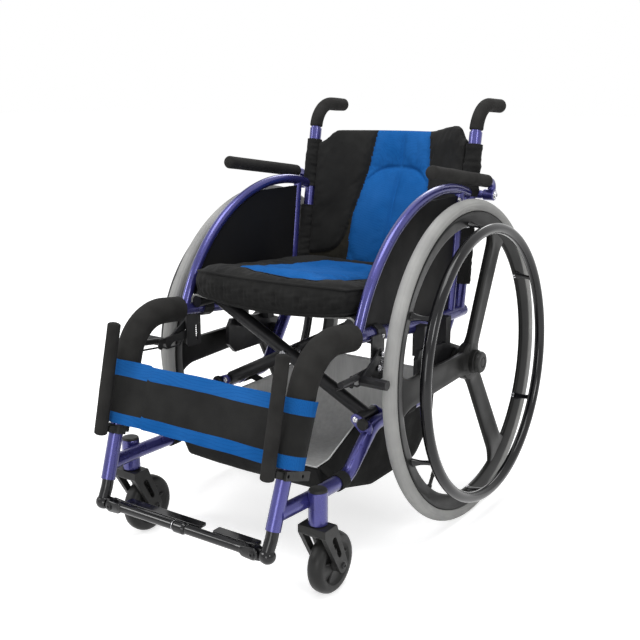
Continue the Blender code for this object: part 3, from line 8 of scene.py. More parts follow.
import bmesh
import bpy
import numpy as np
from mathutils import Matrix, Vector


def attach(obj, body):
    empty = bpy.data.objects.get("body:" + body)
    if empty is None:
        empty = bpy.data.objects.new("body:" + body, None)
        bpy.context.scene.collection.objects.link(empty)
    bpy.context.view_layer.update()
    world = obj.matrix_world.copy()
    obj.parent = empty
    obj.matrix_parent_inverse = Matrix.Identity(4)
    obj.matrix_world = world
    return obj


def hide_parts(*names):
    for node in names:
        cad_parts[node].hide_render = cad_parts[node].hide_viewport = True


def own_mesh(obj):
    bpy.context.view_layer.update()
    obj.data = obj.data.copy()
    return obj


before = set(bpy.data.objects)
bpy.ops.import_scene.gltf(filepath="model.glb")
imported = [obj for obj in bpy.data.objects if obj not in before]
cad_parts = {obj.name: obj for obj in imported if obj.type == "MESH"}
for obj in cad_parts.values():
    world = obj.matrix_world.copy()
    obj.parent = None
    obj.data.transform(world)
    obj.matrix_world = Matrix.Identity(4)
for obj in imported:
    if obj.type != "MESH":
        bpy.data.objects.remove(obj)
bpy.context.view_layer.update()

# The room: a pale floor that reads as plain white but keeps the shadow under the wheels, a white
# surround, and soft boxes overhead, to both sides, behind and low in front. The camera stands where the
# photographer stood.

scene = bpy.context.scene
scene.view_settings.view_transform = "Standard"


def node(tree, kind, feeds, **settings):
    """A shader node. Each feed is another node's output, or a plain value for that input."""
    made = tree.nodes.new("ShaderNode" + kind)
    for key, value in settings.items():
        setattr(made, key, value)
    for key, value in feeds.items():
        if isinstance(value, bpy.types.NodeSocket):
            tree.links.new(value, made.inputs[key])
        else:
            made.inputs[key].default_value = value
    return made


def seen_directly(tree):
    """1 for a ray from the eye, a mirror or glass, and 0 for a ray that carries soft light."""
    rays = node(tree, "LightPath", {})
    feeds = {0: rays.outputs["Is Camera Ray"], 1: rays.outputs["Is Glossy Ray"]}
    shiny = node(tree, "Math", feeds, operation="MAXIMUM")
    feeds = {0: shiny.outputs[0], 1: rays.outputs["Is Transmission Ray"]}
    return node(tree, "Math", feeds, operation="MAXIMUM").outputs[0]


room = bpy.data.worlds.new("room")
room.use_nodes = True
scene.world = room
tree = room.node_tree
ambient = node(tree, "Background", {"Color": (1, 1, 1, 1), "Strength": 0.50})
surround = node(tree, "Background", {"Color": (1, 1, 1, 1), "Strength": 1.0})
either = node(tree, "MixShader", {0: seen_directly(tree), 1: ambient.outputs[0], 2: surround.outputs[0]})
tree.links.new(either.outputs[0], tree.nodes["World Output"].inputs["Surface"])

paper = bpy.data.materials.new("floor_paper")
paper.use_nodes = True
tree = paper.node_tree
tree.nodes.remove(tree.nodes["Principled BSDF"])
chalk = node(tree, "BsdfDiffuse", {"Color": (0.82, 0.82, 0.82, 1)})
lift = node(tree, "Math", {0: seen_directly(tree), 1: 0.60}, operation="MULTIPLY")
glow = node(tree, "Emission", {"Color": (1, 1, 1, 1), "Strength": lift.outputs[0]})
both = node(tree, "AddShader", {0: chalk.outputs[0], 1: glow.outputs[0]})
tree.links.new(both.outputs[0], tree.nodes["Material Output"].inputs["Surface"])
floor_mesh = bpy.data.meshes.new("floor")
floor_mesh.from_pydata([(-30, -30, 0), (30, -30, 0), (30, 30, 0), (-30, 30, 0)], [], [(0, 1, 2, 3)])
floor_mesh.materials.append(paper)
floor = bpy.data.objects.new("floor", floor_mesh)
scene.collection.objects.link(floor)


def aim(thing, target):
    """Turns a lamp or camera so that its -Z axis points at the target."""
    way = Vector(target) - thing.location
    thing.rotation_euler = way.to_track_quat("-Z", "Y").to_euler()


def soft_box(name, place, size, power):
    lamp = bpy.data.lights.new(name, "AREA")
    lamp.shape = "SQUARE"
    lamp.size = size
    lamp.energy = power
    holder = bpy.data.objects.new(name, lamp)
    holder.location = place
    scene.collection.objects.link(holder)
    aim(holder, (0, 0, 0.35))


soft_box("overhead", (0.3, -0.4, 3.0), 1.6, 46)
soft_box("front_left", (-2.2, -2.2, 1.9), 0.9, 27)
soft_box("front_right", (2.6, -1.4, 1.7), 0.8, 20)
soft_box("behind", (-0.8, 2.6, 2.2), 1.2, 18)
soft_box("low_front", (0.7, -2.8, 0.7), 1.0, 14)

camera = bpy.data.objects.new("camera", bpy.data.cameras.new("camera"))
camera.location = (0.98892, -1.46714, 0.80069)
camera.data.lens = 53.29
camera.data.sensor_width = 36.0
scene.collection.objects.link(camera)
aim(camera, (0, -0.01035, 0.377))
scene.camera = camera

# Seat tubes: 25 mm aluminium tube in metallic purple paint. Each runs forward under the cushion, bends
# down at the knee and ends open over the footrest slider. A plastic plug closes the rear end.

AXLE_Y = 0.12365
SIDES = ((1, "left"), (-1, "right"))
TUBE_R = 0.0125
FRAME_X = 0.190
LEG_X, LEG_Y, LEG_Z = 0.179, -0.526, 0.147
KNEE_X, KNEE_Y, KNEE_Z = 0.188, -0.432, 0.4225


def unit(vector):
    return vector / np.linalg.norm(vector)


def near(distance, width):
    """1 at no distance, falling off as a bell."""
    return np.exp(-((distance / width) ** 2))


def settled(mesh, distance=1e-6):
    """The mesh with its doubles merged and its faces pointing outwards."""
    work = bmesh.new()
    work.from_mesh(mesh)
    bmesh.ops.remove_doubles(work, verts=work.verts, dist=distance)
    bmesh.ops.recalc_face_normals(work, faces=work.faces)
    work.to_mesh(mesh)
    work.free()
    return mesh


def smoothed(name, mesh):
    """The mesh as an object, smooth up to 35 degrees."""
    mesh.shade_smooth()
    mesh.set_sharp_from_angle(angle=math.radians(35))
    piece = bpy.data.objects.new(name, mesh)
    scene.collection.objects.link(piece)
    return piece


def skin(name, points, round_u=False, round_v=False, capped=False):
    """Four-cornered faces between neighbours of a grid of points, moved from the axle's Y to the chair's.

    A round way joins its last line to its first. A cap closes the first and the last row.
    """
    rows, columns = points.shape[:2]
    index = np.arange(rows * columns).reshape(rows, columns)
    right = np.roll(index, -1, axis=1)
    corners = [index, right, np.roll(right, -1, axis=0), np.roll(index, -1, axis=0)]
    faces = np.stack(corners, axis=-1)[: rows if round_u else -1, : columns if round_v else -1]
    faces = faces.reshape(-1, 4).tolist()
    if capped:
        faces += [index[0, ::-1].tolist(), index[-1].tolist()]
    mesh = bpy.data.meshes.new(name)
    mesh.from_pydata((points + (0, AXLE_Y, 0)).reshape(-1, 3).tolist(), [], faces)
    return smoothed(name, settled(mesh))


def bent(corners, radii, step=4.0):
    """Straight runs with an arc at each inner corner: centre + radius * (outward * cos a - back * sin a)."""
    corners = np.asarray(corners, float)
    runs = [corners[:1]]
    for before, corner, after, radius in zip(corners, corners[1:], corners[2:], radii):
        back, onward = unit(before - corner), unit(after - corner)
        turn = math.pi - math.acos(back @ onward)
        centre = corner + unit(back + onward) * radius / math.cos(turn / 2)
        outward = unit(corner + back * radius * math.tan(turn / 2) - centre)
        angle = np.linspace(0, turn, max(2, round(math.degrees(turn) / step)) + 1)[:, None]
        runs.append(centre + radius * (outward * np.cos(angle) - back * np.sin(angle)))
    runs.append(corners[-1:])
    return np.concatenate(runs)


def evenly(path, spacing):
    """The same line with its points an equal distance apart, read by length along it."""
    steps = np.linalg.norm(np.diff(path, axis=0), axis=1)
    mark = np.concatenate([[0], np.cumsum(steps)])
    at = np.linspace(0, mark[-1], max(2, round(mark[-1] / spacing)) + 1)
    return np.stack([np.interp(at, mark, path[:, k]) for k in range(3)], axis=1)


def pipe(name, path, radius, sides=28, across=(1, 0, 0)):
    """A round bar: path + radius * (side * cos a + rise * sin a), with side and rise square to the path."""
    ways = np.gradient(path, axis=0)
    ways /= np.linalg.norm(ways, axis=1, keepdims=True)
    side = np.array(across, float) - ways * (ways @ np.array(across, float))[:, None]
    side /= np.linalg.norm(side, axis=1, keepdims=True)
    rise = np.cross(ways, side)
    angle = (np.arange(sides) * (2 * math.pi / sides))[:, None]
    ring = side[:, None] * np.cos(angle) + rise[:, None] * np.sin(angle)
    spread = np.broadcast_to(np.asarray(radius, float), (len(path),))[:, None, None]
    return skin(name, path[:, None] + spread * ring, round_v=True, capped=True)


def round_ended(path, radius, depth, both=False):
    """The path and its radii with a domed end: the last radii follow radius * sqrt(1 - s * s)."""
    share = np.sin(np.linspace(0, math.pi / 2, 7))[1:]
    drop = np.sqrt(1 - np.minimum(share, 0.985) ** 2)
    ends = path[-1] + unit(path[-1] - path[-2]) * depth * share[:, None]
    radii = np.broadcast_to(np.asarray(radius, float), (len(path),))
    radii = np.concatenate([radii, drop * np.ravel(radius)[-1]])
    path = np.concatenate([path, ends])
    if both:
        back, back_radii = round_ended(path[: -len(share)][::-1], radii[: -len(share)][::-1], depth)
        count = len(path) - len(share)
        path = np.concatenate([back[count:][::-1], path])
        radii = np.concatenate([back_radii[count:][::-1], radii])
    return path, radii


def fitted(piece, body, material, *nodes):
    """The piece gets its material and that one's slot, moves with its body, and stands for the nodes."""
    piece.data.materials.clear()
    piece.data.materials.append(material)
    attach(piece, body)
    if nodes:
        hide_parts(*nodes)


def new_finish(name, colour, roughness, metallic=0.0, **more):
    """(material, tree, shader, object coordinates) with the shader's plain values set."""
    material = bpy.data.materials.new(name)
    material.use_nodes = True
    material.diffuse_color = (*colour, 1)
    tree = material.node_tree
    shader = tree.nodes["Principled BSDF"]
    values = {"Base Color": (*colour, 1), "Roughness": roughness, "Metallic": metallic, **more}
    for key, value in values.items():
        shader.inputs[key.replace("_", " ")].default_value = value
    return material, tree, shader, node(tree, "TexCoord", {}).outputs["Object"]


def drifting(tree, place, low, high, scale):
    """A colour that drifts between two, following a noise."""
    noise = node(tree, "TexNoise", {"Vector": place, "Scale": scale, "Detail": 3.0})
    ramp = node(tree, "MapRange", {"Value": noise.outputs[0], "From Min": 0.3, "From Max": 0.7})
    return node(tree, "Mix", {0: ramp.outputs[0], 6: (*low, 1), 7: (*high, 1)}, data_type="RGBA").outputs[2]


def between(tree, place, low, high, scale):
    """A number that drifts between two, following a noise."""
    noise = node(tree, "TexNoise", {"Vector": place, "Scale": scale, "Detail": 4.0})
    feeds = {"Value": noise.outputs[0], "From Min": 0.3, "From Max": 0.7, "To Min": low, "To Max": high}
    return node(tree, "MapRange", feeds).outputs[0]


def raised(tree, shader, height, depth, strength):
    """Bump of this depth in metres on the shader."""
    bump = node(tree, "Bump", {"Height": height, "Distance": depth, "Strength": strength})
    tree.links.new(bump.outputs[0], shader.inputs["Normal"])


def surface(name, colour, roughness, drift, rough, bump, metallic=0.0, **more):
    """A finish whose colour and roughness drift by (low, high, scale).

    Its bump is (kind of texture, the texture's values, depth in metres, strength).
    """
    material, tree, shader, place = new_finish(name, colour, roughness, metallic, **more)
    tree.links.new(drifting(tree, place, *drift), shader.inputs["Base Color"])
    tree.links.new(between(tree, place, *rough), shader.inputs["Roughness"])
    texture, values, depth, strength = bump
    raised(tree, shader, node(tree, texture, {"Vector": place, **values}).outputs[0], depth, strength)
    return material


def two_grains(tree, shader, place, first, second, depth, strength):
    """Bump from the sum of two textures, each (kind, values)."""
    grains = [node(tree, kind, {"Vector": place, **values}).outputs[0] for kind, values in (first, second)]
    raised(tree, shader, node(tree, "Math", {0: grains[0], 1: grains[1]}).outputs[0], depth, strength)


purple_paint, tree, shader, place = new_finish(
    "purple_paint", (0.038, 0.037, 0.18), 0.30, 0.60, Coat_Weight=0.5, Coat_Roughness=0.06
)
hue = drifting(tree, place, (0.032, 0.031, 0.155), (0.052, 0.050, 0.23), 9.0)
flake = node(tree, "TexVoronoi", {"Vector": place, "Scale": 1400.0})
feeds = {"Value": flake.outputs["Distance"], "From Min": 0.0, "From Max": 0.35, "To Min": 1.0, "To Max": 0.0}
spark = node(tree, "MapRange", feeds)
bright = node(tree, "Mix", {0: spark.outputs[0], 6: hue, 7: (0.12, 0.12, 0.38, 1)}, data_type="RGBA")
tree.links.new(bright.outputs[2], shader.inputs["Base Color"])
tree.links.new(between(tree, place, 0.22, 0.36, 30.0), shader.inputs["Roughness"])
peel = node(tree, "TexNoise", {"Vector": place, "Scale": 420.0, "Detail": 2.0})
raised(tree, shader, peel.outputs[0], 0.00005, 0.4)

black_plastic = surface(
    "black_plastic", (0.014, 0.014, 0.014), 0.42,
    drift=((0.011, 0.011, 0.011), (0.019, 0.019, 0.018), 14.0),
    rough=(0.34, 0.52, 45.0),
    bump=("TexVoronoi", {"Scale": 1500.0}, 0.00006, 0.5),
    Specular_IOR_Level=0.22,
)

seat_corners = [
    (FRAME_X, 0.090, 0.380),
    (FRAME_X, -0.060, 0.380),
    (FRAME_X, -0.257, 0.403),
    (KNEE_X, KNEE_Y, KNEE_Z),
    (LEG_X, LEG_Y, LEG_Z),
]
seat_line = evenly(bent(seat_corners, (0.2, 0.2, 0.085)), 0.004)
LEG_SLOPE = (LEG_Y - KNEE_Y) / (LEG_Z - KNEE_Z)


def leg_y(z):
    """Y of the leg's straight run at this height."""
    return LEG_Y + (z - LEG_Z) * LEG_SLOPE


def leg_x(z):
    """X of the leg's straight run at this height."""
    return LEG_X + (z - LEG_Z) * (KNEE_X - LEG_X) / (KNEE_Z - LEG_Z)


for side, word in SIDES:
    mirror = (side, 1, 1)
    line = seat_line * mirror
    tube = pipe(f"{word}_seat_run", line, TUBE_R)
    fitted(tube, f"frame_{word}", purple_paint, f"{word}_seat_tube")
    plug_line = np.array([(side * FRAME_X, 0.086, 0.380), (side * FRAME_X, 0.0905, 0.380)])
    plug = pipe(f"{word}_seat_plug", *round_ended(plug_line, TUBE_R - 0.0004, 0.003))
    fitted(plug, f"frame_{word}", black_plastic)

# Arch tubes, guard struts and back posts: the same paint. The arch follows the wheel from the seat tube to
# the post, the strut stands behind the guard panel, and the post bends back at the top into the handle.

ARCH_R = 0.0095
POST_X = 0.188
AXLE_Z = 0.304794
ARCH_BEND = 0.3205
turn = np.radians(np.linspace(156, 70, 60))
arch_line = [np.full(60, FRAME_X), ARCH_BEND * np.cos(turn), AXLE_Z + ARCH_BEND * np.sin(turn)]
arch_line = np.concatenate([[(FRAME_X, -0.305, 0.408)], np.stack(arch_line, axis=1)])
strut_line = bent([(FRAME_X, 0.035, 0.384), (FRAME_X, 0.044, 0.458), (FRAME_X, 0.0625, 0.6195)], (0.3,))
post_corners = [(POST_X, 0.075, 0.384), (POST_X, 0.1055, 0.588), (POST_X, 0.1165, 0.660)]
post_corners += [(POST_X, 0.137, 0.778), (POST_X, 0.239, 0.773)]
post_line = evenly(bent(post_corners, (0.2, 0.2, 0.055)), 0.003)
post_up = post_line[(post_line[:, 2] < 0.7265) & (post_line[:, 1] < 0.135)]
ARM_PIVOT = (0.120, 0.606794)


def post_y(z):
    """Y of the back post's middle at this height."""
    return np.interp(z, post_up[:, 2], post_up[:, 1])


def lathed(name, centre, way, profile, sides=28, ring=False):
    """Turned round an axis: centre + way * height + radius * (side * cos a + rise * sin a)."""
    way = unit(np.array(way, float))
    side = unit(np.cross(way, (0, 0, 1) if abs(way[2]) < 0.8 else (0, 1, 0)))
    rise = np.cross(way, side)
    radius, height = np.array(profile, float).T
    angle = (np.arange(sides) * (2 * math.pi / sides))[:, None, None]
    around = side * np.cos(angle) + rise * np.sin(angle)
    points = np.array(centre, float) + way * height[:, None] + around * radius[:, None]
    return skin(name, points, round_u=True, round_v=ring)


def eased(piece, width):
    """Rounds the piece's sharp edges by this width."""
    edge = piece.modifiers.new("eased_edges", "BEVEL")
    edge.width = width
    edge.segments = 2
    edge.limit_method = "ANGLE"
    edge.angle_limit = math.radians(38)
    edge.harden_normals = True
    return piece


def made_plain(piece):
    """The piece keeps the mesh that its modifiers make of it, and loses them."""
    piece.data = bpy.data.meshes.new_from_object(piece.evaluated_get(bpy.context.evaluated_depsgraph_get()))
    piece.modifiers.clear()
    return piece.data


def merged(name, pieces):
    """Several shapes as one object."""
    work = bmesh.new()
    for piece in pieces:
        work.from_mesh(piece.data)
        bpy.data.objects.remove(piece, do_unlink=True)
    mesh = bpy.data.meshes.new(name)
    work.to_mesh(mesh)
    work.free()
    return smoothed(name, mesh)


bright_steel = surface(
    "bright_steel", (0.62, 0.62, 0.64), 0.24,
    drift=((0.55, 0.55, 0.57), (0.70, 0.70, 0.72), 60.0),
    rough=(0.18, 0.34, 90.0),
    bump=("TexNoise", {"Scale": 700.0, "Detail": 5.0}, 0.00003, 0.3),
    metallic=1.0,
)


def screw(name, centre, way, radius=0.0045, height=0.0026):
    """A domed screw head with a hexagon socket sunk in its middle, on a thin washer."""
    socket = radius * 0.42
    profile = [(0, height * 0.35), (socket, height * 0.35), (socket, height * 0.97), (radius * 0.7, height)]
    profile += [(radius * 0.93, height * 0.72), (radius, height * 0.3), (radius, 0), (radius * 1.3, -0.0002)]
    profile += [(radius * 1.3, -0.0008), (0, -0.0008)]
    return lathed(name, centre, way, profile, 24)


def bolted(name, body, centre, way, radius=0.0045, height=0.0026, material=bright_steel):
    """A screw head that moves with the body."""
    fitted(screw(name, centre, way, radius, height), body, material)


for side, word in SIDES:
    mirror = (side, 1, 1)
    body = f"frame_{word}"
    arch = pipe(f"{word}_wheel_arch", arch_line * mirror, ARCH_R)
    fitted(arch, body, purple_paint, f"{word}_arch_tube")
    strut = pipe(f"{word}_strut_bar", strut_line * mirror, 0.0085)
    fitted(strut, body, purple_paint, f"{word}_guard_strut")
    post = pipe(f"{word}_post_run", post_up * mirror, TUBE_R)
    handle_line = post_line[post_line[:, 2] >= 0.7225] * mirror
    handle = pipe(f"{word}_handle_core", handle_line, 0.0105)
    boss = lathed(
        f"{word}_arm_boss",
        (side * POST_X, *ARM_PIVOT),
        (side, 0, 0),
        [(0, 0), (0.0085, 0), (0.0085, 0.0205), (0.0075, 0.0255), (0, 0.0255)],
    )
    post = merged(f"{word}_post", [post, handle, boss])
    fitted(post, body, purple_paint, f"{word}_back_post")
    bolted(f"{word}_arm_bolt", body, (side * 0.2368, *ARM_PIVOT), (side, 0, 0), 0.0062, 0.0034)
    place = (side * (FRAME_X + 0.0086), 0.042, 0.603)
    bolted(f"{word}_strut_screw", body, place, (side, 0, 0), 0.0036)

# Lower rails: one purple tube from the leg back, up and level under the seat, and up again to the seat tube.
# The caster's head tube is welded outside the front run, and two plates hold the foot of a cross arm.

RAIL_X = 0.187
HEAD_X = 0.206
HEAD_Y = -0.443
HEAD_LOW_Z = 0.133
RAIL_Z = 0.238
PIVOT_X = 0.168
PIVOT_Z = 0.250
FOOT_SPAN = {1: (-0.272, -0.208), -1: (-0.217, -0.152)}
rail_corners = [
    (RAIL_X - 0.005, leg_y(0.1715), 0.1715),
    (RAIL_X, HEAD_Y, 0.1705),
    (RAIL_X, -0.330, 0.168),
    (RAIL_X, -0.245, RAIL_Z),
    (RAIL_X, -0.0596, RAIL_Z),
    (RAIL_X, 0.0405, 0.380),
]
rail_line = evenly(bent(rail_corners, (0.1, 0.05, 0.05, 0.05)), 0.004)
head_profile = [(0, 0), (0.0145, 0), (0.016, 0.0015), (0.016, 0.0555), (0.0145, 0.057), (0, 0.057)]
cap_profile = [(0, 0.056), (0.0152, 0.056), (0.0152, 0.0585), (0.0135, 0.0602), (0.006, 0.0608), (0, 0.0608)]


def link_outline(first, second, r1, r2):
    """Two circles and their outer tangents: each circle keeps the arc that faces away from the other."""
    first, second = np.array(first, float), np.array(second, float)
    way = second - first
    lean = math.acos((r1 - r2) / np.linalg.norm(way))
    heading = math.atan2(way[1], way[0])
    a = heading + np.linspace(lean, 2 * math.pi - lean, 18)
    b = heading + np.linspace(-lean, lean, 18)
    far = second + r2 * np.stack([np.cos(b), np.sin(b)], axis=1)
    return np.concatenate([first + r1 * np.stack([np.cos(a), np.sin(a)], axis=1), far])


def slab(name, outline, low, high, axis, ease=0.0006):
    """A flat plate: the outline stands between two planes across this axis, 0 for X, 1 for Y, 2 for Z."""
    outline = np.asarray(outline, float)
    points = np.insert(np.stack([outline, outline]), axis, 0.0, axis=2)
    points[0, :, axis] = low
    points[1, :, axis] = high
    return eased(skin(name, points, round_v=True, capped=True), ease)


dull_black = surface(
    "dull_black_paint", (0.010, 0.010, 0.011), 0.36,
    drift=((0.008, 0.008, 0.009), (0.015, 0.015, 0.016), 22.0),
    rough=(0.30, 0.50, 60.0),
    bump=("TexNoise", {"Scale": 900.0, "Detail": 3.0}, 0.00008, 0.4),
    metallic=0.1, Specular_IOR_Level=0.3,
)

for side, word in SIDES:
    mirror = (side, 1, 1)
    body = f"frame_{word}"
    span = FOOT_SPAN[side]
    shapes = [pipe(f"{word}_rail_run", rail_line * mirror, TUBE_R)]
    shapes.append(lathed(f"{word}_head", (side * HEAD_X, HEAD_Y, HEAD_LOW_Z), (0, 0, 1), head_profile, 36))
    outline = link_outline((side * PIVOT_X, PIVOT_Z), (side * RAIL_X, RAIL_Z), 0.010, 0.014)
    for y in (span[0], span[1] - 0.003):
        shapes.append(slab(f"{word}_ear", outline, y, y + 0.003, 1))
    rail = merged(f"{word}_rail", shapes)
    fitted(rail, body, purple_paint, f"{word}_lower_rail")
    cap = lathed(f"{word}_head_cap", (side * HEAD_X, HEAD_Y, HEAD_LOW_Z), (0, 0, 1), cap_profile, 36)
    fitted(cap, body, black_plastic)
    for y, way, end in ((span[0], -1, "front"), (span[1], 1, "rear")):
        place = (side * PIVOT_X, y, PIVOT_Z)
        bolted(f"{word}_foot_bolt_{end}", body, place, (0, way, 0), 0.0055, 0.0030)
    knob_profile = [(0, 0), (0.0092, 0), (0.0104, 0.0012), (0.0104, 0.0070), (0.0086, 0.0090), (0, 0.0096)]
    knob = lathed(f"{word}_rail_knob", (side * 0.185, span[0], 0.2455), (0, -1, 0), knob_profile, 32)
    fitted(knob, body, black_plastic)

# Foam sleeves: closed-cell foam over the handles, the knees, the armrests and the leg guards, pushed on
# from the end and rounded where it is cut.

black_foam, tree, shader, place = new_finish(
    "black_foam", (0.020, 0.020, 0.019), 0.88, Specular_IOR_Level=0.12
)
hue = drifting(tree, place, (0.016, 0.0155, 0.015), (0.025, 0.0245, 0.0235), 28.0)
tree.links.new(hue, shader.inputs["Base Color"])
pores, dents = ("TexVoronoi", {"Scale": 900.0}), ("TexNoise", {"Scale": 60.0, "Detail": 5.0})
two_grains(tree, shader, place, pores, dents, 0.0003, 0.55)
tree.links.new(between(tree, place, 0.78, 0.95, 40.0), shader.inputs["Roughness"])

WAVES = 9


def ripples(points, size, seed):
    """Seeded unevenness, mostly between -1 and 1: sines of (direction . point * 2 pi / wavelength + phase),
    summed and divided by sqrt(2 * their number)."""
    dice = np.random.default_rng(seed)
    total = 0.0
    for _ in range(WAVES):
        way = unit(dice.normal(size=3))
        wave = size * dice.uniform(0.6, 1.8)
        total = total + np.sin(points @ way * (2 * math.pi / wave) + dice.uniform(0, 2 * math.pi))
    return total / math.sqrt(WAVES * 2)


def foam(name, path, radius, body, node_name, depth):
    """A foam sleeve with both ends rounded, its girth uneven by a third of a millimetre."""
    line = evenly(path, 0.0035)
    line, radii = round_ended(line, radius + 0.0003 * ripples(line, 0.05, len(name)), depth, both=True)
    sleeve = pipe(name, line, radii, 40)
    fitted(sleeve, body, black_foam, node_name)


knee_part = seat_line[(seat_line[:, 1] <= -0.321) & (seat_line[:, 2] >= 0.243)]
grip_part = post_line[(post_line[:, 2] >= 0.731) & (post_line[:, 1] <= 0.238)]
arm_front = np.array((0.225, -0.130, 0.6668))
arm_rear = np.array((0.225, 0.110, 0.6338))
pad_top = np.array((0.178, -0.493, 0.422))
pad_low = np.array((0.178, -0.539, 0.231))
for side, word in SIDES:
    mirror = (side, 1, 1)
    body = f"frame_{word}"
    foam(f"{word}_knee_foam", knee_part * mirror, 0.0232, body, f"{word}_knee_pad", 0.005)
    foam(f"{word}_grip_foam", grip_part * mirror, 0.0136, body, f"{word}_push_grip", 0.0045)
    way = unit(arm_front - arm_rear)
    arm_part = np.array([arm_rear + way * 0.006, arm_front - way * 0.009]) * mirror
    foam(f"{word}_arm_foam", arm_part, 0.0123, f"{word}_armrest", f"{word}_armrest_pad", 0.009)
    way = unit(pad_top - pad_low)
    guard_part = np.array([pad_low + way * 0.005, pad_top - way * 0.006]) * mirror
    foam(f"{word}_guard_foam", guard_part, 0.0113, body, f"{word}_leg_guard_pad", 0.005)

# Armrest tubes: 16 mm tube in the frame's paint, bent down behind the pad to an eye that turns on the
# back post's bolt.

arm_corners = [(0.225, -0.116, 0.6648), (0.225, 0.110, 0.6338), (0.225, 0.1465, 0.6283), (0.225, *ARM_PIVOT)]
arm_line = evenly(bent(arm_corners, (0.05, 0.012)), 0.003)
for side, word in SIDES:
    bar = pipe(f"{word}_arm_bar", arm_line * (side, 1, 1), 0.0080)
    eye_profile = [(0.0046, 0), (0.0100, 0), (0.0110, 0.001)]
    eye_profile += [(radius, 0.022 - out) for radius, out in eye_profile[::-1]]
    eye = lathed(f"{word}_arm_eye", (side * 0.214, *ARM_PIVOT), (side, 0, 0), eye_profile, 32, ring=True)
    arm = merged(f"{word}_arm", [bar, eye])
    fitted(arm, f"{word}_armrest", purple_paint, f"{word}_armrest_tube")

# Rear wheels: 24 inch. A grey tyre sits on a moulded nylon rim with three blades, and the handrim is a
# lacquered ring on six tabs screwed to the rim. A push-button axle carries the whole in the axle plate.

WHEEL_R = 0.305
WHEEL_X = 0.2470
TYRE_R = 0.0125
TYRE_SEAT_R = 0.2836
RIM_EDGE_R = 0.2545
CAMBER = math.radians(2.15)
BLADES = 3
TABS = 6


def on_wheel(points, side):
    """From (offset, y, z) round the hub to the chair: leaned by the camber, moved to the hub, mirrored."""
    x, y, z = np.moveaxis(points, -1, 0)
    out = WHEEL_X + x * math.cos(CAMBER) - z * math.sin(CAMBER)
    return np.stack([side * out, y, AXLE_Z + x * math.sin(CAMBER) + z * math.cos(CAMBER)], axis=-1)


def at_turn(offset, radius, turn, side):
    """The chair's point at this offset, radius and turn on the wheel."""
    return on_wheel(np.array([offset, radius * math.cos(turn), radius * math.sin(turn)]), side)


def ringed(name, profile, side, steps=240, ring=True):
    """Turned round the hub: (offset, radius * cos a, radius * sin a) for each (radius, offset)."""
    radius, offset = np.array(profile, float).T
    angle = np.arange(steps) * (2 * math.pi / steps)
    out = np.broadcast_to(offset, (steps, len(offset)))
    flat = np.stack([out, np.outer(np.cos(angle), radius), np.outer(np.sin(angle), radius)], axis=-1)
    return skin(name, on_wheel(flat, side), round_u=True, round_v=ring)


tyre_rubber = surface(
    "grey_tyre_rubber", (0.30, 0.30, 0.295), 0.66,
    drift=((0.27, 0.27, 0.265), (0.34, 0.34, 0.33), 18.0),
    rough=(0.62, 0.82, 30.0),
    bump=("TexNoise", {"Scale": 700.0, "Detail": 4.0}, 0.00012, 0.5),
    Specular_IOR_Level=0.3,
)

wheel_plastic = surface(
    "wheel_nylon", (0.008, 0.008, 0.008), 0.34,
    drift=((0.006, 0.006, 0.006), (0.011, 0.011, 0.0105), 8.0),
    rough=(0.28, 0.44, 24.0),
    bump=("TexNoise", {"Scale": 1300.0, "Detail": 3.0}, 0.00007, 0.4),
    Specular_IOR_Level=0.16,
)

gloss_black = surface(
    "handrim_lacquer", (0.003, 0.003, 0.0035), 0.12,
    drift=((0.004, 0.004, 0.005), (0.008, 0.008, 0.009), 26.0),
    rough=(0.08, 0.18, 12.0),
    bump=("TexNoise", {"Scale": 260.0, "Detail": 4.0}, 0.00003, 0.3),
    Specular_IOR_Level=0.26, Coat_Weight=0.15,
    Coat_Roughness=0.04,
)

around = np.radians(np.linspace(-135.3, 135.3, 61))
lean = np.degrees(np.abs(around))
groove = 0.0005 * near(lean - 30, 4.0) + 0.0005 * near(lean - 72, 4.0)
thick = TYRE_R - groove
tyre_profile = np.stack([WHEEL_R - TYRE_R + thick * np.cos(around), thick * np.sin(around)], axis=1)

rim_section = [(RIM_EDGE_R, 0.0), (RIM_EDGE_R + 0.0003, -0.0022), (RIM_EDGE_R + 0.0015, -0.0036)]
rim_section += [(0.2600, -0.0050), (0.2770, -0.0092), (0.2795, -0.0096), (0.2818, -0.0092)]
rim_section.append((TYRE_SEAT_R - 0.0004, -0.0076))
rim_section += [(radius, -offset) for radius, offset in rim_section[:0:-1]]


def box_round(angle, width, half, power):
    """A rounded box section: (width * cos^power, half * sin^power), signs kept."""
    cosine, sine = np.cos(angle), np.sin(angle)
    across = width * np.sign(cosine) * np.abs(cosine) ** power
    return across, half * np.sign(sine) * np.abs(sine) ** power


def outward(name, side, degrees, offset, reach, across):
    """Skin round a line that runs out from the hub at this angle, from a grid of offset, reach and across."""
    turn = math.radians(degrees)
    y = reach * math.cos(turn) - across * math.sin(turn)
    z = reach * math.sin(turn) + across * math.cos(turn)
    points = np.stack([offset + 0 * y, y, z], axis=-1)
    return skin(name, on_wheel(points, side), round_v=True, capped=True)


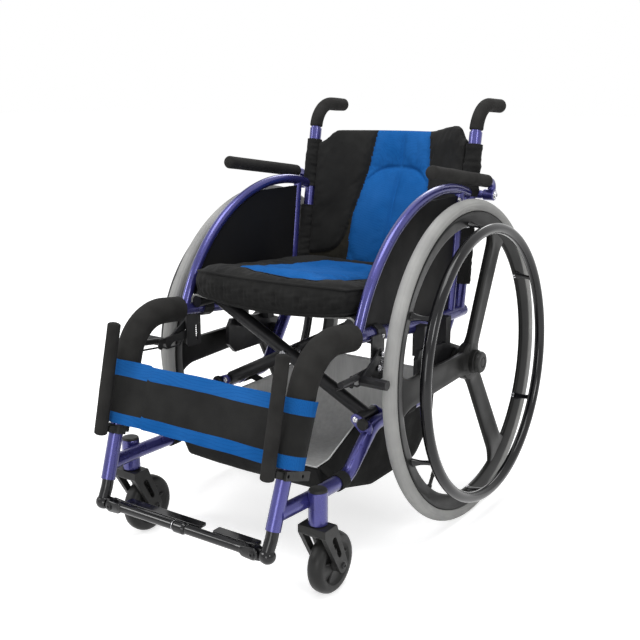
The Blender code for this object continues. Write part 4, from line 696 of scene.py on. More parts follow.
def blade(name, side, degrees):
    """A spoke: a rounded box section carried out from the hub.

    It widens near the hub and the rim, and a step along the leading quarter of the outer face leaves a
    raised ridge.
    """
    reach = np.linspace(0.010, 0.2580, 70)[:, None]
    angle = np.linspace(0, 2 * math.pi, 56, endpoint=False)[None]
    to_rim = np.clip((reach - 0.222) / 0.036, 0, 1) ** 2
    to_hub = np.clip((0.050 - reach) / 0.035, 0, 1) ** 2
    width = 0.0208 + 0.0050 * (reach - 0.010) / 0.248 + 0.014 * to_rim + 0.004 * to_hub
    half = 0.0062 - 0.0016 * to_rim + 0.0060 * to_hub
    across, face = box_round(angle, width, half, 0.4)
    ridge = 1 / (1 + np.exp(-(across / width - 0.42) / 0.03)) * (np.sin(angle) > 0)
    face = 0.0008 * (1 - to_rim) + face + 0.0011 * ridge * (1 - to_hub) * (1 - to_rim)
    return outward(name, side, degrees, face, reach, across)


hub_profile = [(0, -0.0255), (0.0205, -0.0255), (0.0225, -0.0235), (0.0225, -0.0125), (0.0250, -0.0105)]
hub_profile += [(0.0340, -0.0085), (0.0360, -0.0060), (0.0360, 0.0060), (0.0340, 0.0088), (0.0265, 0.0105)]
hub_profile += [(0.0225, 0.0130), (0.0225, 0.0210), (0.0205, 0.0230), (0, 0.0230)]
knob_profile = [(0, 0.0233), (0.0195, 0.0233), (0.0205, 0.0243), (0.0205, 0.0290)]
knob_profile += [(0.0188, 0.0318), (0.0150, 0.0329), (0.0105, 0.0326), (0.0098, 0.0312)]
knob_profile += [(0.0088, 0.0312), (0.0082, 0.0324), (0.0050, 0.0330), (0, 0.0330)]
hoop = np.radians(np.linspace(0, 360, 24, endpoint=False))
hoop_profile = np.stack([0.2519 + 0.010 * np.cos(hoop), 0.0452 + 0.010 * np.sin(hoop)], axis=1)


def tab(name, side, degrees):
    """A flat tab from the rim's sloped face to the handrim.

    Its radius runs from foot to ring by s^0.8. It is drawn in at its waist by sin(pi s) and spreads over the
    slope at its foot.
    """
    share = np.linspace(0.0, 1.0, 20)[:, None]
    angle = np.linspace(0, 2 * math.pi, 24, endpoint=False)[None]
    width = 0.0070 - 0.0026 * np.sin(math.pi * share) + 0.0012 * (1 - share) ** 4 - 0.0016 * share**4
    half = 0.0036 - 0.0010 * np.sin(math.pi * share) + 0.0014 * (1 - share) ** 6
    across, lift = box_round(angle, width, half, 0.5)
    reach = 0.2602 - 0.0083 * share**0.8 + lift
    out = 0.0048 + 0.0382 * share + 0.23 * lift * (1 - share) ** 3
    return outward(name, side, degrees, out, reach, across)


for side, word in SIDES:
    body = f"{word}_wheel"
    tyre = ringed(f"{word}_tyre_ring", tyre_profile, side)
    fitted(tyre, body, tyre_rubber, f"{word}_tyre")
    shapes = [ringed(f"{word}_rim", rim_section, side)]
    shapes.append(ringed(f"{word}_hub", hub_profile, side, 64, ring=False))
    shapes += [blade(f"{word}_blade_{k}", side, 61.0 + 360.0 / BLADES * k) for k in range(BLADES)]
    wheel = merged(f"{word}_three_blade_wheel", shapes)
    fitted(wheel, body, wheel_plastic, f"{word}_mag_wheel")
    shapes = [ringed(f"{word}_hoop", hoop_profile, side)]
    shapes += [tab(f"{word}_tab_{k}", side, 30.0 + 360.0 / TABS * k) for k in range(TABS)]
    hoop_piece = merged(f"{word}_hand_hoop", shapes)
    fitted(hoop_piece, body, gloss_black, f"{word}_handrim")
    knob = ringed(f"{word}_axle_knob", knob_profile, side, 64, ring=False)
    pin_profile = [(0, -0.0430), (0.0052, -0.0430), (0.0060, -0.0420), (0.0060, 0.0240), (0, 0.0240)]
    pin = ringed(f"{word}_axle_pin", pin_profile, side, 32, ring=False)
    axle = merged(f"{word}_quick_axle", [knob, pin])
    fitted(axle, body, black_plastic, f"{word}_wheel_axle")
    heads = []
    for k in range(2 * TABS):
        turn = math.radians(30 + 360 / TABS * (k // 2) + (0.62 if k % 2 else -0.62))
        start = at_turn(0.0004, RIM_EDGE_R + 0.0002, turn, side)
        end = at_turn(0.0004, 0.2500, turn, side)
        heads.append(screw(f"{word}_rim_screw_{k}", start, end - start, 0.0019, 0.0016))
    heads = merged(f"{word}_rim_screws", heads)
    fitted(heads, body, bright_steel)
    turn = math.radians(-128)
    low, high = at_turn(0.0, 0.2550, turn, side), at_turn(0.0, 0.2230, turn, side)
    stem = [(0, 0), (0.0045, 0), (0.0045, 0.004), (0.0032, 0.006), (0.0032, 0.020)]
    stem += [(0.0038, 0.021), (0.0038, 0.031), (0, 0.032)]
    valve = lathed(f"{word}_valve", low, high - low, stem, 20)
    fitted(valve, body, black_plastic)

# Casters: a nylon fork swivels on its stem in the head tube and holds a solid wheel on a bolt. The wheel is
# moulded in one with its hub, which is sunk on both faces and ribbed.

CASTER_Y = HEAD_Y + 0.035
CASTER_R = 0.0525
RIBS = 5
caster_profile = [(0.0042, -0.0172), (0.0115, -0.0172), (0.0125, -0.0160), (0.0135, -0.0105)]
caster_profile += [(0.0300, -0.0085), (0.0330, -0.0100), (0.0365, -0.0138), (0.0425, -0.0145)]
caster_profile += [(0.0475, -0.0128), (0.0508, -0.0092), (0.0522, -0.0045), (CASTER_R, 0.0)]
caster_profile += [(radius, -offset) for radius, offset in caster_profile[-2::-1]]


def dressed(name, material, ease):
    """A CAD solid that stays gets its material, and its sharp edges are welded and eased."""
    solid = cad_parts[name]
    for socket in solid.material_slots:
        socket.material = material
    weld = solid.modifiers.new("welded", "WELD")
    weld.merge_threshold = 0.00001
    eased(solid, ease)


for side, word in SIDES:
    axle = np.array((side * HEAD_X, CASTER_Y, CASTER_R))
    shapes = [lathed(f"{word}_roller", axle, (1, 0, 0), caster_profile, 72, ring=True)]
    for face in (-1, 1):
        for k in range(RIBS):
            turn = math.radians(360 / RIBS * k + 18)
            out = np.array((0, math.cos(turn), math.sin(turn)))
            start = axle + (face * 0.0088, 0, 0) + 0.012 * out
            end = axle + (face * 0.0098, 0, 0) + 0.033 * out
            shapes.append(pipe(f"{word}_rib", np.linspace(start, end, 4), 0.0024, 12))
    pin_profile = [(0, -0.026), (0.004, -0.026), (0.004, 0.026), (0, 0.026)]
    shapes.append(lathed(f"{word}_caster_pin", axle, (1, 0, 0), pin_profile, 20))
    roller = merged(f"{word}_caster_roller", shapes)
    fitted(roller, f"{word}_caster_wheel", black_plastic, f"{word}_caster_wheel")
    for face in (-1, 1):
        name = f"{word}_caster_bolt_{'out' if face * side > 0 else 'in'}"
        place = axle + (face * 0.0268, 0, 0)
        bolted(name, f"{word}_caster_wheel", place, (face, 0, 0), 0.0058, 0.0026, dull_black)
    dressed(f"{word}_caster_fork", black_plastic, 0.0020)

# Cross brace: two black steel bars cross on a bolt. Each has a sleeve that turns between two plates of the
# lower rail, and a seat rail across its top end that drops into a saddle on the other side's seat tube.

SEAT_RAIL_Z = 0.422
SLING_FRONT_Y = -0.2945
SLING_REAR_Y = 0.0265


def cross_bar(name, side, y, span):
    """The bar from its sleeve on one side to its seat rail on the other."""
    foot = np.array((side * PIVOT_X, y, PIVOT_Z))
    head = np.array((-side * PIVOT_X, y, SEAT_RAIL_Z))
    way = unit(head - foot)
    bar = pipe("bar", np.array([foot, head - way * 0.008]), TUBE_R, 28, (0, 1, 0))
    length = span[1] - span[0]
    profile = [(0, 0), (0.0088, 0), (0.0095, 0.0007), (0.0095, length - 0.0073), (0, length - 0.0066)]
    sleeve = lathed("sleeve", (foot[0], span[0] + 0.0033, PIVOT_Z), (0, 1, 0), profile, 28)
    line = np.array([(head[0], SLING_FRONT_Y, SEAT_RAIL_Z), (head[0], SLING_REAR_Y, SEAT_RAIL_Z)])
    rail = pipe("rail", *round_ended(line, 0.011, 0.0015), 28)
    return merged(name, [bar, sleeve, rail])


for word, side, y in (("a", 1, -0.238), ("b", -1, -0.198)):
    arm = cross_bar(f"brace_{word}", side, y, FOOT_SPAN[side])
    fitted(arm, f"cross_arm_{word}", dull_black, f"cross_arm_{word}")
dressed("cross_bolt", bright_steel, 0.0005)

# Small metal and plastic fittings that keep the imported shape: axle plates, brakes, saddles, brackets and
# the guard panels. The brakes get screw heads and a spring.

guard_plastic = surface(
    "guard_sheet", (0.009, 0.009, 0.010), 0.55,
    drift=((0.006, 0.006, 0.007), (0.013, 0.0125, 0.012), 6.0),
    rough=(0.48, 0.64, 20.0),
    bump=("TexNoise", {"Scale": 1100.0, "Detail": 2.0}, 0.00008, 0.5),
    Specular_IOR_Level=0.12,
)

LEVER_Y = -0.272
COILS = 5
COIL_R = 0.0032
COIL_LENGTH = 0.0200
for side, word in SIDES:
    dressed(f"{word}_axle_plate", dull_black, 0.0008)
    for part in ("brake_mount", "brake_lever", "brake_shoe"):
        dressed(f"{word}_{part}", dull_black, 0.0005)
    for name, body, x, y, z, radius in (
        ("lever_screw", f"frame_{word}", 0.2142, LEVER_Y, 0.350, 0.0042),
        ("shoe_screw", f"frame_{word}", 0.2192, LEVER_Y + 0.004, 0.375, 0.0042),
        ("clamp_screw", f"frame_{word}", 0.2071, LEVER_Y + 0.022, 0.401, 0.0036),
        ("clip_screw", f"{word}_brake_lever", 0.2120, LEVER_Y - 0.080, 0.350, 0.0034),
        ("rod_screw", f"{word}_brake_lever", 0.2120, LEVER_Y - 0.040, 0.350, 0.0030),
    ):
        bolted(f"{word}_{name}", body, (side * x, y, z), (side, 0, 0), radius, 0.0022)
    turns = np.linspace(0, 2 * math.pi * COILS, 160)
    coil = [0.2097 + COIL_R * np.sin(turns), LEVER_Y + 0.019 + COIL_R * np.cos(turns)]
    coil = np.stack([*coil, 0.342 + COIL_LENGTH * turns / turns[-1]], axis=1)
    coil = pipe(f"{word}_brake_spring", coil * (side, 1, 1), 0.0006, 8, (0, 0, 1))
    fitted(coil, f"frame_{word}", bright_steel)
    dressed(f"{word}_seat_saddle", black_plastic, 0.0008)
    dressed(f"{word}_leg_guard_bracket", black_plastic, 0.0006)
    dressed(f"{word}_side_guard", guard_plastic, 0.0006)

# Footrest: two cast halves in gloss black, each a round bar that hinges on an egg-shaped casting at the foot
# of the leg and meets the other in a barrel, with a flat plate behind the bar.

HINGE_X = 0.155
HINGE_Y = -0.540
HINGE_Z = 0.110
BAR_R = 0.0083


def turned_along(name, side, marks, radii):
    """Turned round the bar's line: the radius is read between marks along X."""
    x = np.linspace(marks[0], marks[-1], 60)
    line = np.stack([side * x, np.full(60, HINGE_Y), np.full(60, HINGE_Z)], axis=1)
    return pipe(name, line, np.interp(x, marks, radii), 32, (0, 1, 0))


egg = np.radians(np.linspace(90, 5, 14))
egg_marks = [0.1672, 0.1680, 0.1710, 0.1745, *(0.1785 + 0.0135 * np.cos(egg))]
egg_radii = [0.0060, 0.0092, 0.0112, 0.0123, *(0.0128 * np.sin(egg))]
bar_marks = [0.0120, 0.0125, 0.0135, 0.1200, 0.1300, 0.1380, 0.1405, 0.1418]
bar_radii = [0.0060, 0.0078, BAR_R, BAR_R, 0.0088, 0.0098, 0.0090, 0.0060]
for side, word in SIDES:
    foot = (side * 0.178, HINGE_Y + 0.001, 0.116)
    stem = evenly(np.array([(side * 0.1793, -0.5226, 0.157), (side * 0.1787, -0.5300, 0.1340), foot]), 0.003)
    lug = link_outline((side * HINGE_X, HINGE_Z), (side * 0.1715, HINGE_Z + 0.001), 0.0112, 0.0100)
    shapes = [pipe("stem", stem, 0.0104), turned_along("egg", side, egg_marks, egg_radii)]
    shapes.append(slab("lug", lug, HINGE_Y - 0.0043, HINGE_Y + 0.0043, 1, 0.0008))
    casting = merged(f"{word}_foot_casting", shapes)
    fitted(casting, f"frame_{word}", gloss_black, f"{word}_footrest_slider")
    for way, end in ((-1, "front"), (1, "rear")):
        place = (side * HINGE_X, HINGE_Y + way * 0.0097, HINGE_Z)
        bolted(f"{word}_hinge_screw_{end}", f"frame_{word}", place, (0, way, 0), 0.0052, 0.0024, dull_black)
    place = (side * 0.1745, HINGE_Y - 0.003, HINGE_Z + 0.0122)
    bolted(f"{word}_casting_pin", f"frame_{word}", place, (0, -0.2, 1), 0.0022, 0.0016)
    cheek = link_outline((side * HINGE_X, HINGE_Z), (side * 0.138, HINGE_Z), 0.0103, 0.0092)
    shapes = [turned_along("bar", side, bar_marks, bar_radii)]
    for low in (-0.0092, 0.0049):
        shapes.append(slab("cheek", cheek, HINGE_Y + low, HINGE_Y + low + 0.0043, 1, 0.0014))
    if side > 0:
        barrel_marks = [-0.0095, -0.0090, -0.0080, 0.0090, 0.0105, 0.0130]
        barrel_radii = [0.0080, 0.0098, 0.0106, 0.0106, 0.0098, 0.0082]
        shapes.append(turned_along("barrel", side, barrel_marks, barrel_radii))
    inner = 0.055 if side > 0 else -0.028
    plate = [(side * inner, -0.5235), (side * inner, -0.5085), (side * (inner + 0.0015), -0.507)]
    plate += [(side * 0.1415, -0.507), (side * 0.143, -0.5085), (side * 0.143, -0.5235)]
    plate += [(side * 0.1415, -0.525), (side * (inner + 0.0015), -0.525)]
    shapes.append(slab("plate", plate, HINGE_Z - 0.003, HINGE_Z + 0.003, 2, 0.0022))
    web = [(side * 0.113, -0.5215), (side * 0.116, HINGE_Y), (side * 0.136, HINGE_Y), (side * 0.143, -0.5215)]
    shapes.append(slab("web", web, HINGE_Z - 0.0025, HINGE_Z + 0.0025, 2, 0.0016))
    for shape in shapes:
        made_plain(shape)
    half = merged(f"{word}_foot_bar", shapes)
    fitted(half, f"{word}_footrest", gloss_black, f"{word}_footrest_half")
ring_profile = [(0, 0), (0.0088, 0), (0.0094, 0.0004), (0.0094, 0.0011), (0, 0.0014)]
ring = lathed("knuckle_ring", (-0.0118, HINGE_Y, HINGE_Z), (-1, 0, 0), ring_profile)
fitted(ring, "right_footrest", bright_steel)

# Seat sling: one sheet of coated nylon over both seat rails, with a grey tape bound round its front edge.

SAG = 0.009
WRAP_R = 0.0113

black_nylon, tree, shader, place = new_finish(
    "black_nylon", (0.012, 0.012, 0.012), 0.86, Specular_IOR_Level=0.12, Sheen_Weight=0.02
)
hue = drifting(tree, place, (0.009, 0.009, 0.009), (0.017, 0.017, 0.0165), 12.0)
tree.links.new(hue, shader.inputs["Base Color"])
weave = ("TexVoronoi", {"Scale": 900.0, "Randomness": 0.0})
pucker = ("TexNoise", {"Scale": 45.0, "Detail": 4.0})
two_grains(tree, shader, place, weave, pucker, 0.00035, 0.5)
tree.links.new(between(tree, place, 0.76, 0.94, 35.0), shader.inputs["Roughness"])

grey_tape = surface(
    "grey_binding", (0.22, 0.22, 0.21), 0.8,
    drift=((0.16, 0.16, 0.155), (0.27, 0.27, 0.26), 60.0),
    rough=(0.7, 0.9, 80.0),
    bump=("TexVoronoi", {"Scale": 1100.0, "Randomness": 0.0}, 0.0002, 0.6),
    Specular_IOR_Level=0.2,
)


def sagging(x):
    """How far the sling hangs below its rails: sag * (1 - (x / half)^2)."""
    return SAG * (1 - (x / PIVOT_X) ** 2)


def sling_section(offset):
    """(x, z) from the outer side of one rail, over it, across the sag and over the other."""
    radius = WRAP_R + offset
    wrap = np.radians(np.linspace(-12, 90, 14))
    x = PIVOT_X + radius * np.cos(wrap)
    z = SEAT_RAIL_Z + radius * np.sin(wrap)
    span = np.linspace(PIVOT_X, -PIVOT_X, 60)[1:-1]
    low = SEAT_RAIL_Z + WRAP_R - sagging(span) + offset
    return np.stack([np.concatenate([x, span, -x[::-1]]), np.concatenate([z, low, z[::-1]])], axis=1)


outer, inner = sling_section(0.0019), sling_section(0.0002)
section = np.concatenate([outer, inner[::-1]])
along = np.linspace(SLING_FRONT_Y + 0.001, SLING_REAR_Y, 40)
grid = np.empty((len(along), len(section), 3))
grid[..., 0] = section[:, 0]
grid[..., 1] = along[:, None]
grid[..., 2] = section[:, 1]
sling = skin("sling_sheet", grid, round_v=True, capped=True)
fitted(sling, "seat", black_nylon, "seat_sling")
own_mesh(sling)
middle = (outer + inner) / 2
edge = np.stack([middle[:, 0], np.full(len(middle), SLING_FRONT_Y), middle[:, 1]], axis=1)
binding = pipe("sling_binding", evenly(edge, 0.004), 0.0019, 12, (0, 1, 0))
fitted(binding, "seat", grey_tape)
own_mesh(binding)

# Seat cushion: a foam block in a nylon cover with a knitted blue panel let into its top. Piping runs round
# the top and bottom seams, and the cover gathers along the front band.

blue_knit, tree, shader, place = new_finish(
    "blue_knit", (0.008, 0.092, 0.31), 0.80, Specular_IOR_Level=0.06
)
hue = drifting(tree, place, (0.005, 0.078, 0.27), (0.014, 0.108, 0.345), 10.0)
eyes = node(tree, "TexVoronoi", {"Vector": place, "Scale": 560.0, "Randomness": 0.0})
holes = node(tree, "MapRange", {"Value": eyes.outputs["Distance"], "From Min": 0.12, "From Max": 0.32})
knit = node(tree, "Mix", {0: holes.outputs[0], 6: (0.002, 0.032, 0.13, 1), 7: hue}, data_type="RGBA")
tree.links.new(knit.outputs[2], shader.inputs["Base Color"])
raised(tree, shader, holes.outputs[0], 0.00035, 0.45)
tree.links.new(between(tree, place, 0.72, 0.90, 30.0), shader.inputs["Roughness"])

SLING_TOP_Z = 0.4362
CUSHION_HALF = 0.178
FRONT_Y = -0.315
REAR_Y = 0.064
COVER_INSET = 0.0035


def cushion_point(u, v, w):
    """From a block's (u, v, w), each -1 to 1, to the cushion.

    The plan's corners are drawn in by sqrt(1 - 0.16 u^5) and sqrt(1 - 0.20 v^6), the front bows out by
    (1 - u^2), the front corners spread past the frame's tubes and the sides bulge by (1 - w^2). The top is
    crowned by (1 - u^4)(1 - v^9) with a roll along the front, and the underside follows the sling's sag.
    """
    bulge = 1 + 0.020 * (1 - w**2)
    middle, half = (FRONT_Y + REAR_Y) / 2, (REAR_Y - FRONT_Y) / 2 - COVER_INSET
    y = middle + v * half * np.sqrt(1 - 0.16 * np.abs(u) ** 5) * bulge
    y = y - 0.009 * (1 - u**2) * np.clip((-0.20 - y) / 0.115, 0, 1) ** 2
    spread = 0.0075 * np.clip((-0.286 - y) / 0.014, 0, 1)
    x = u * (CUSHION_HALF - COVER_INSET + spread) * np.sqrt(1 - 0.20 * np.abs(v) ** 6) * bulge
    seam = np.interp(y, (FRONT_Y, REAR_Y), (0.483, 0.453))
    roll = 0.007 * near(y + 0.285, 0.035) - 0.005 * near(y + 0.12, 0.10)
    crown = (1 - np.abs(u) ** 4) * (0.009 * (1 - np.abs(v) ** 9) + roll)
    low = SLING_TOP_Z - np.maximum(sagging(x), 0)
    return np.stack([x, y, low + (seam + crown - low) * (w + 1) / 2], axis=-1)


insert_corners = [(-0.0880, -0.10, 0), (-0.0780, -0.015, 0), (0.1000, -0.015, 0), (0.1220, -0.16, 0)]
insert_corners += [(0.1060, -0.292, 0), (0.0450, -0.306, 0), (-0.0860, -0.276, 0), (-0.0880, -0.10, 0)]
insert_line = evenly(bent(insert_corners, (0.018, 0.016, 0.30, 0.022, 0.25, 0.010)), 0.002)[:-1, :2]


def past_insert(plan):
    """Distance from the insert's seam in plan, less than 0 inside it, where a ray crosses it an odd number
    of times."""
    flat = plan.reshape(-1, 1, 2)
    gap = np.sqrt(((flat - insert_line[None]) ** 2).sum(axis=2)).min(axis=1)
    (x1, y1), (x2, y2) = insert_line.T, np.roll(insert_line, -1, axis=0).T
    crosses = (y1 > flat[..., 1]) != (y2 > flat[..., 1])
    rise = np.where(y2 == y1, 1.0, y2 - y1)
    left_of = flat[..., 0] < (x2 - x1) * (flat[..., 1] - y1) / rise + x1
    inside = (crosses & left_of).sum(axis=1) % 2 == 1
    return np.where(inside, -gap, gap).reshape(plan.shape[:-1])


def read(mesh, what="co"):
    """The mesh's points or normals, Y measured from the axle for points."""
    values = np.empty(len(mesh.vertices) * 3)
    mesh.vertices.foreach_get(what, values)
    return values.reshape(-1, 3) - ((0, AXLE_Y, 0) if what == "co" else (0, 0, 0))


def moved(piece, points):
    """Gives the piece's mesh these points, Y measured from the axle."""
    piece.data.vertices.foreach_set("co", (points + (0, AXLE_Y, 0)).ravel())


def faces_of(piece):
    """Middle and normal of every face, Y measured from the axle for the middles."""
    faces = piece.data.polygons
    middles = np.array([face.center for face in faces]) - (0, AXLE_Y, 0)
    return middles, np.array([face.normal for face in faces])


def coloured(piece, number):
    """Gives every face its material by number."""
    piece.data.polygons.foreach_set("material_index", np.asarray(number).astype(np.int32))


PUFF_FRAMES = 20


def puffed(piece, kept, cap, slack):
    """Cloth simulation of a stuffed cover.

    An even skin of the piece is blown up from inside, each point moves by offset * min(1, cap / length), and
    the points named by kept stay on their seams.
    """
    name = piece.name
    even = piece.modifiers.new("even_skin", "REMESH")
    even.mode = "VOXEL"
    even.voxel_size = 0.005
    mesh = made_plain(piece)
    start = read(mesh)
    group = piece.vertex_groups.new(name="kept")
    group.add(np.flatnonzero(kept(start)).tolist(), 1.0, "REPLACE")
    cover = piece.modifiers.new("cover", "CLOTH")
    cloth = cover.settings
    cloth.quality = 6
    cloth.use_pressure = True
    cloth.uniform_pressure_force = 4.0
    cloth.tension_stiffness = cloth.compression_stiffness = 8.0
    cloth.bending_stiffness = 0.2
    cloth.shrink_min = -slack
    cloth.vertex_group_mass = "kept"
    cloth.effector_weights.gravity = 0.0
    cover.point_cache.frame_start = 1
    cover.point_cache.frame_end = PUFF_FRAMES
    for number in range(1, PUFF_FRAMES + 1):
        scene.frame_set(number)
    after = read(piece.evaluated_get(bpy.context.evaluated_depsgraph_get()).to_mesh())
    scene.frame_set(1)
    piece.modifiers.clear()
    offset = after - start
    length = np.linalg.norm(offset, axis=1, keepdims=True)
    start = start + offset * np.minimum(1, cap / np.maximum(length, 1e-9))
    moved(piece, start)
    finer = piece.modifiers.new("finer", "SUBSURF")
    finer.levels = finer.render_levels = 1
    mesh = made_plain(piece)
    bpy.data.objects.remove(piece, do_unlink=True)
    mesh.name = name
    return smoothed(name, settled(mesh))


steps = np.linspace(-1, 1, 101)
u, v = np.meshgrid(steps, steps)
faces = [cushion_point(u, v, np.full_like(u, w)) for w in (1, -1)]
along, level = np.meshgrid(steps, np.linspace(-1, 1, 15))
for sign in (-1, 1):
    end = np.full_like(along, sign)
    faces += [cushion_point(along, end, level), cushion_point(end, along, level)]
cushion = merged("cushion_cover", [skin(f"cushion_face_{k}", face) for k, face in enumerate(faces)])
settled(cushion.data, 0.00005)
run = np.linspace(-1, 1, 90)
end = np.ones(90)
ring_u = np.concatenate([run, end, -run, -end])
ring_v = np.concatenate([-end, run, end, -run])
top_seam = cushion_point(ring_u, ring_v, np.full_like(ring_u, 0.97))
low_seam = cushion_point(ring_u, ring_v, np.full_like(ring_u, -0.80))


def to_line(points, line):
    """Distance from each point to the nearest point of a line."""
    parts = np.array_split(points, 1 + len(points) // 4000)
    squares = [((part[:, None] - line[None]) ** 2).sum(axis=2).min(axis=1) for part in parts]
    return np.sqrt(np.concatenate(squares))


def cushion_kept(points):
    """The piped seams, the insert's seam and the underside."""
    piped = np.minimum(to_line(points, top_seam), to_line(points, low_seam)) < 0.0045
    sewn = (np.abs(past_insert(points[:, :2])) < 0.0035) & (points[:, 2] > 0.455)
    return piped | sewn | (points[:, 2] < SLING_TOP_Z + 0.001 - np.maximum(sagging(points[:, 0]), 0))


cushion = puffed(cushion, cushion_kept, 0.007, 0.035)
points, normals = read(cushion.data), read(cushion.data, "normal")
gap = past_insert(points[:, :2])
upper = np.clip(normals[:, 2] * 2 - 0.6, 0, 1)
front = np.clip(-normals[:, 1] * 2 - 0.8, 0, 1)
band = 1 - np.clip(np.abs((points[:, 2] - 0.459) / 0.018), 0, 1) ** 4
gather = np.sin(points[:, 0] * (2 * math.pi / 0.0115) + 2.4 * ripples(points * (1, 1, 0.3), 0.05, 7))
points[:, 2] -= upper * 0.0030 * near(gap, 0.0042)
points[:, 2] += upper * 0.0010 * ripples(points, 0.065, 31)
points[:, 2] += upper * 0.0009 * ripples(points * (1, 0.35, 1), 0.020, 33) * near(gap - 0.012, 0.010)
points[:, 1] -= front * band * (0.0007 * gather + 0.0018 * ripples(points * (1, 1, 2.2), 0.026, 4))
flank = np.sign(points[:, 0]) * (1 - upper) * (1 - front)
points[:, 0] += flank * 0.0012 * ripples(points * (1, 1, 2.4), 0.035, 10)
moved(cushion, points)
cushion.data.shade_smooth()
fitted(cushion, "seat", black_nylon, "seat_cushion")
cushion.data.materials.append(blue_knit)
centres, facing = faces_of(cushion)
coloured(cushion, (past_insert(centres[:, :2]) < 0) & (facing[:, 2] > 0.3))
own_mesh(cushion)
for name, loop in (("top", top_seam), ("bottom", low_seam)):
    loop = loop[np.r_[True, np.linalg.norm(np.diff(loop, axis=0), axis=1) > 1e-5]]
    piping = pipe(f"cushion_piping_{name}", loop, 0.0023, 12, (0, 0, 1))
    fitted(piping, "seat", black_nylon)
    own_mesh(piping)
on_top = points[upper > 0.5]
nearest = np.array([((on_top[:, :2] - point) ** 2).sum(axis=1).argmin() for point in insert_line])
seam_z = on_top[nearest, 2]
seam_z = sum(np.roll(seam_z, k) for k in range(-2, 3)) / 5
cord_line = np.concatenate([insert_line, seam_z[:, None] + 0.0007], axis=1)
cord = pipe("cushion_insert_cord", np.concatenate([cord_line, cord_line[:1]]), 0.0014, 10, (0, 0, 1))
fitted(cord, "seat", black_nylon)
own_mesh(cord)

# Backrest: a hollowed pad slung between the posts. Black side panels, a knitted blue middle panel with a
# middle seam and an arched cross seam, and a sleeve sewn round each post.

BACK_HALF = 0.1745
BACK_LOW = 0.428
BACK_TOP = 0.720
RIM_ROUND = 0.012

olive_nylon = surface(
    "olive_base_cloth", (0.017, 0.015, 0.011), 0.84,
    drift=((0.013, 0.012, 0.009), (0.021, 0.019, 0.014), 20.0),
    rough=(0.76, 0.92, 30.0),
    bump=("TexVoronoi", {"Scale": 1000.0, "Randomness": 0.0}, 0.0002, 0.5),
    Specular_IOR_Level=0.12,
)


def stripe_half(z):
    """Half width of the blue panel: widest two thirds of the way down."""
    halves = (0.084, 0.0875, 0.0870, 0.080, 0.0735, 0.0685, 0.0630)
    return np.interp(z, (0.45, 0.52, 0.55, 0.587, 0.629, 0.67, 0.714), halves)


def back_sag(z):
    """How far the middle hangs behind the posts."""
    return np.interp(z, (0.45, 0.53, 0.58, 0.645, 0.72), (0.020, 0.037, 0.048, 0.068, 0.070))


def hollow(x, z):
    """How far the pad hangs behind the posts here: sag * (1 - (x / half)^2.2)."""
    return back_sag(z) * (1 - (np.abs(x) / BACK_HALF) ** 2.2)


def back_top(x):
    """The top edge climbs beside the left post, then drops to the sleeves, both by smooth steps."""
    climb = np.clip((x - 0.055) / 0.075, 0, 1)
    drop = np.clip((np.abs(x) - 0.142) / 0.028, 0, 1)
    return BACK_TOP + 0.013 * climb * climb * (3 - 2 * climb) - 0.024 * drop * drop * (3 - 2 * drop)


def panel_low(x):
    """Lower edge of the raised side panels: level beside the post, then curving up along the blue panel."""
    outs = (0.088, 0.093, 0.097, 0.104, 0.113, 0.124, 0.145, 0.1745)
    return np.interp(np.abs(x), outs, (0.562, 0.524, 0.504, 0.487, 0.476, 0.469, 0.464, 0.461))


def arch_seam(x, z):
    """Height of the cross seam: flat in the middle with round shoulders."""
    return 0.646 - 0.033 * np.clip(np.abs(x) / stripe_half(z), 0, 1) ** 3.4


def from_rim(x, z):
    """Distance in front view to the nearest edge of the pad."""
    return np.minimum(np.minimum(z - BACK_LOW, back_top(x) - z), BACK_HALF - np.abs(x))


across = np.linspace(-1, 1, 121)[None, :]
x = BACK_HALF * across + np.zeros((121, 1))
z = BACK_LOW + (back_top(x) - BACK_LOW) * np.linspace(0, 1, 121)[:, None]
rim = np.clip(from_rim(x, z) / RIM_ROUND, 0, 1)
y = post_y(z) - 0.010 + hollow(x, z)
front = np.stack([x, y - 0.003 * np.sqrt(rim), z], axis=-1)
rear = np.stack([x, y + 0.020 - 0.007 * (1 - rim), z], axis=-1)
edge_f, edge_r = [
    np.concatenate([grid[0], grid[1:, -1], grid[-1, -2::-1], grid[-2:0:-1, 0]]) for grid in (front, rear)
]
share = np.linspace(0, 1, 7)[:, None, None]
hem = edge_f + (edge_r - edge_f) * share
hem[..., 2] += np.sign(edge_f[:, 2] - 0.58) * 0.0025 * np.sin(math.pi * share[..., 0])
skins = [skin("pad_front", front), skin("pad_rear", rear), skin("pad_hem", hem, round_v=True)]
back_pad = merged("back_panel", skins)
settled(back_pad.data, 0.00005)


def back_seams(points):
    """1 on a seam, falling to 0 beside it: the middle seam, the cross seam, both sides of the blue panel and
    the edge of the raised panels."""
    x, z = points[:, 0], points[:, 2]
    inside = np.abs(x) < stripe_half(z)
    sewn = near(x, 0.0036) * inside + near(np.abs(x) - stripe_half(z), 0.0036)
    sewn = sewn + near(z - arch_seam(x, z), 0.0040) * inside + near(z - panel_low(x), 0.0036) * ~inside
    return np.clip(sewn, 0, 1)


def back_kept(points):
    """The rim, the seams and the whole rear face."""
    x, z = points[:, 0], points[:, 2]
    edge = from_rim(x, z) < RIM_ROUND / 2
    behind = points[:, 1] > post_y(z) - 0.002 + hollow(x, z)
    return edge | behind | (back_seams(points) > 0.6)


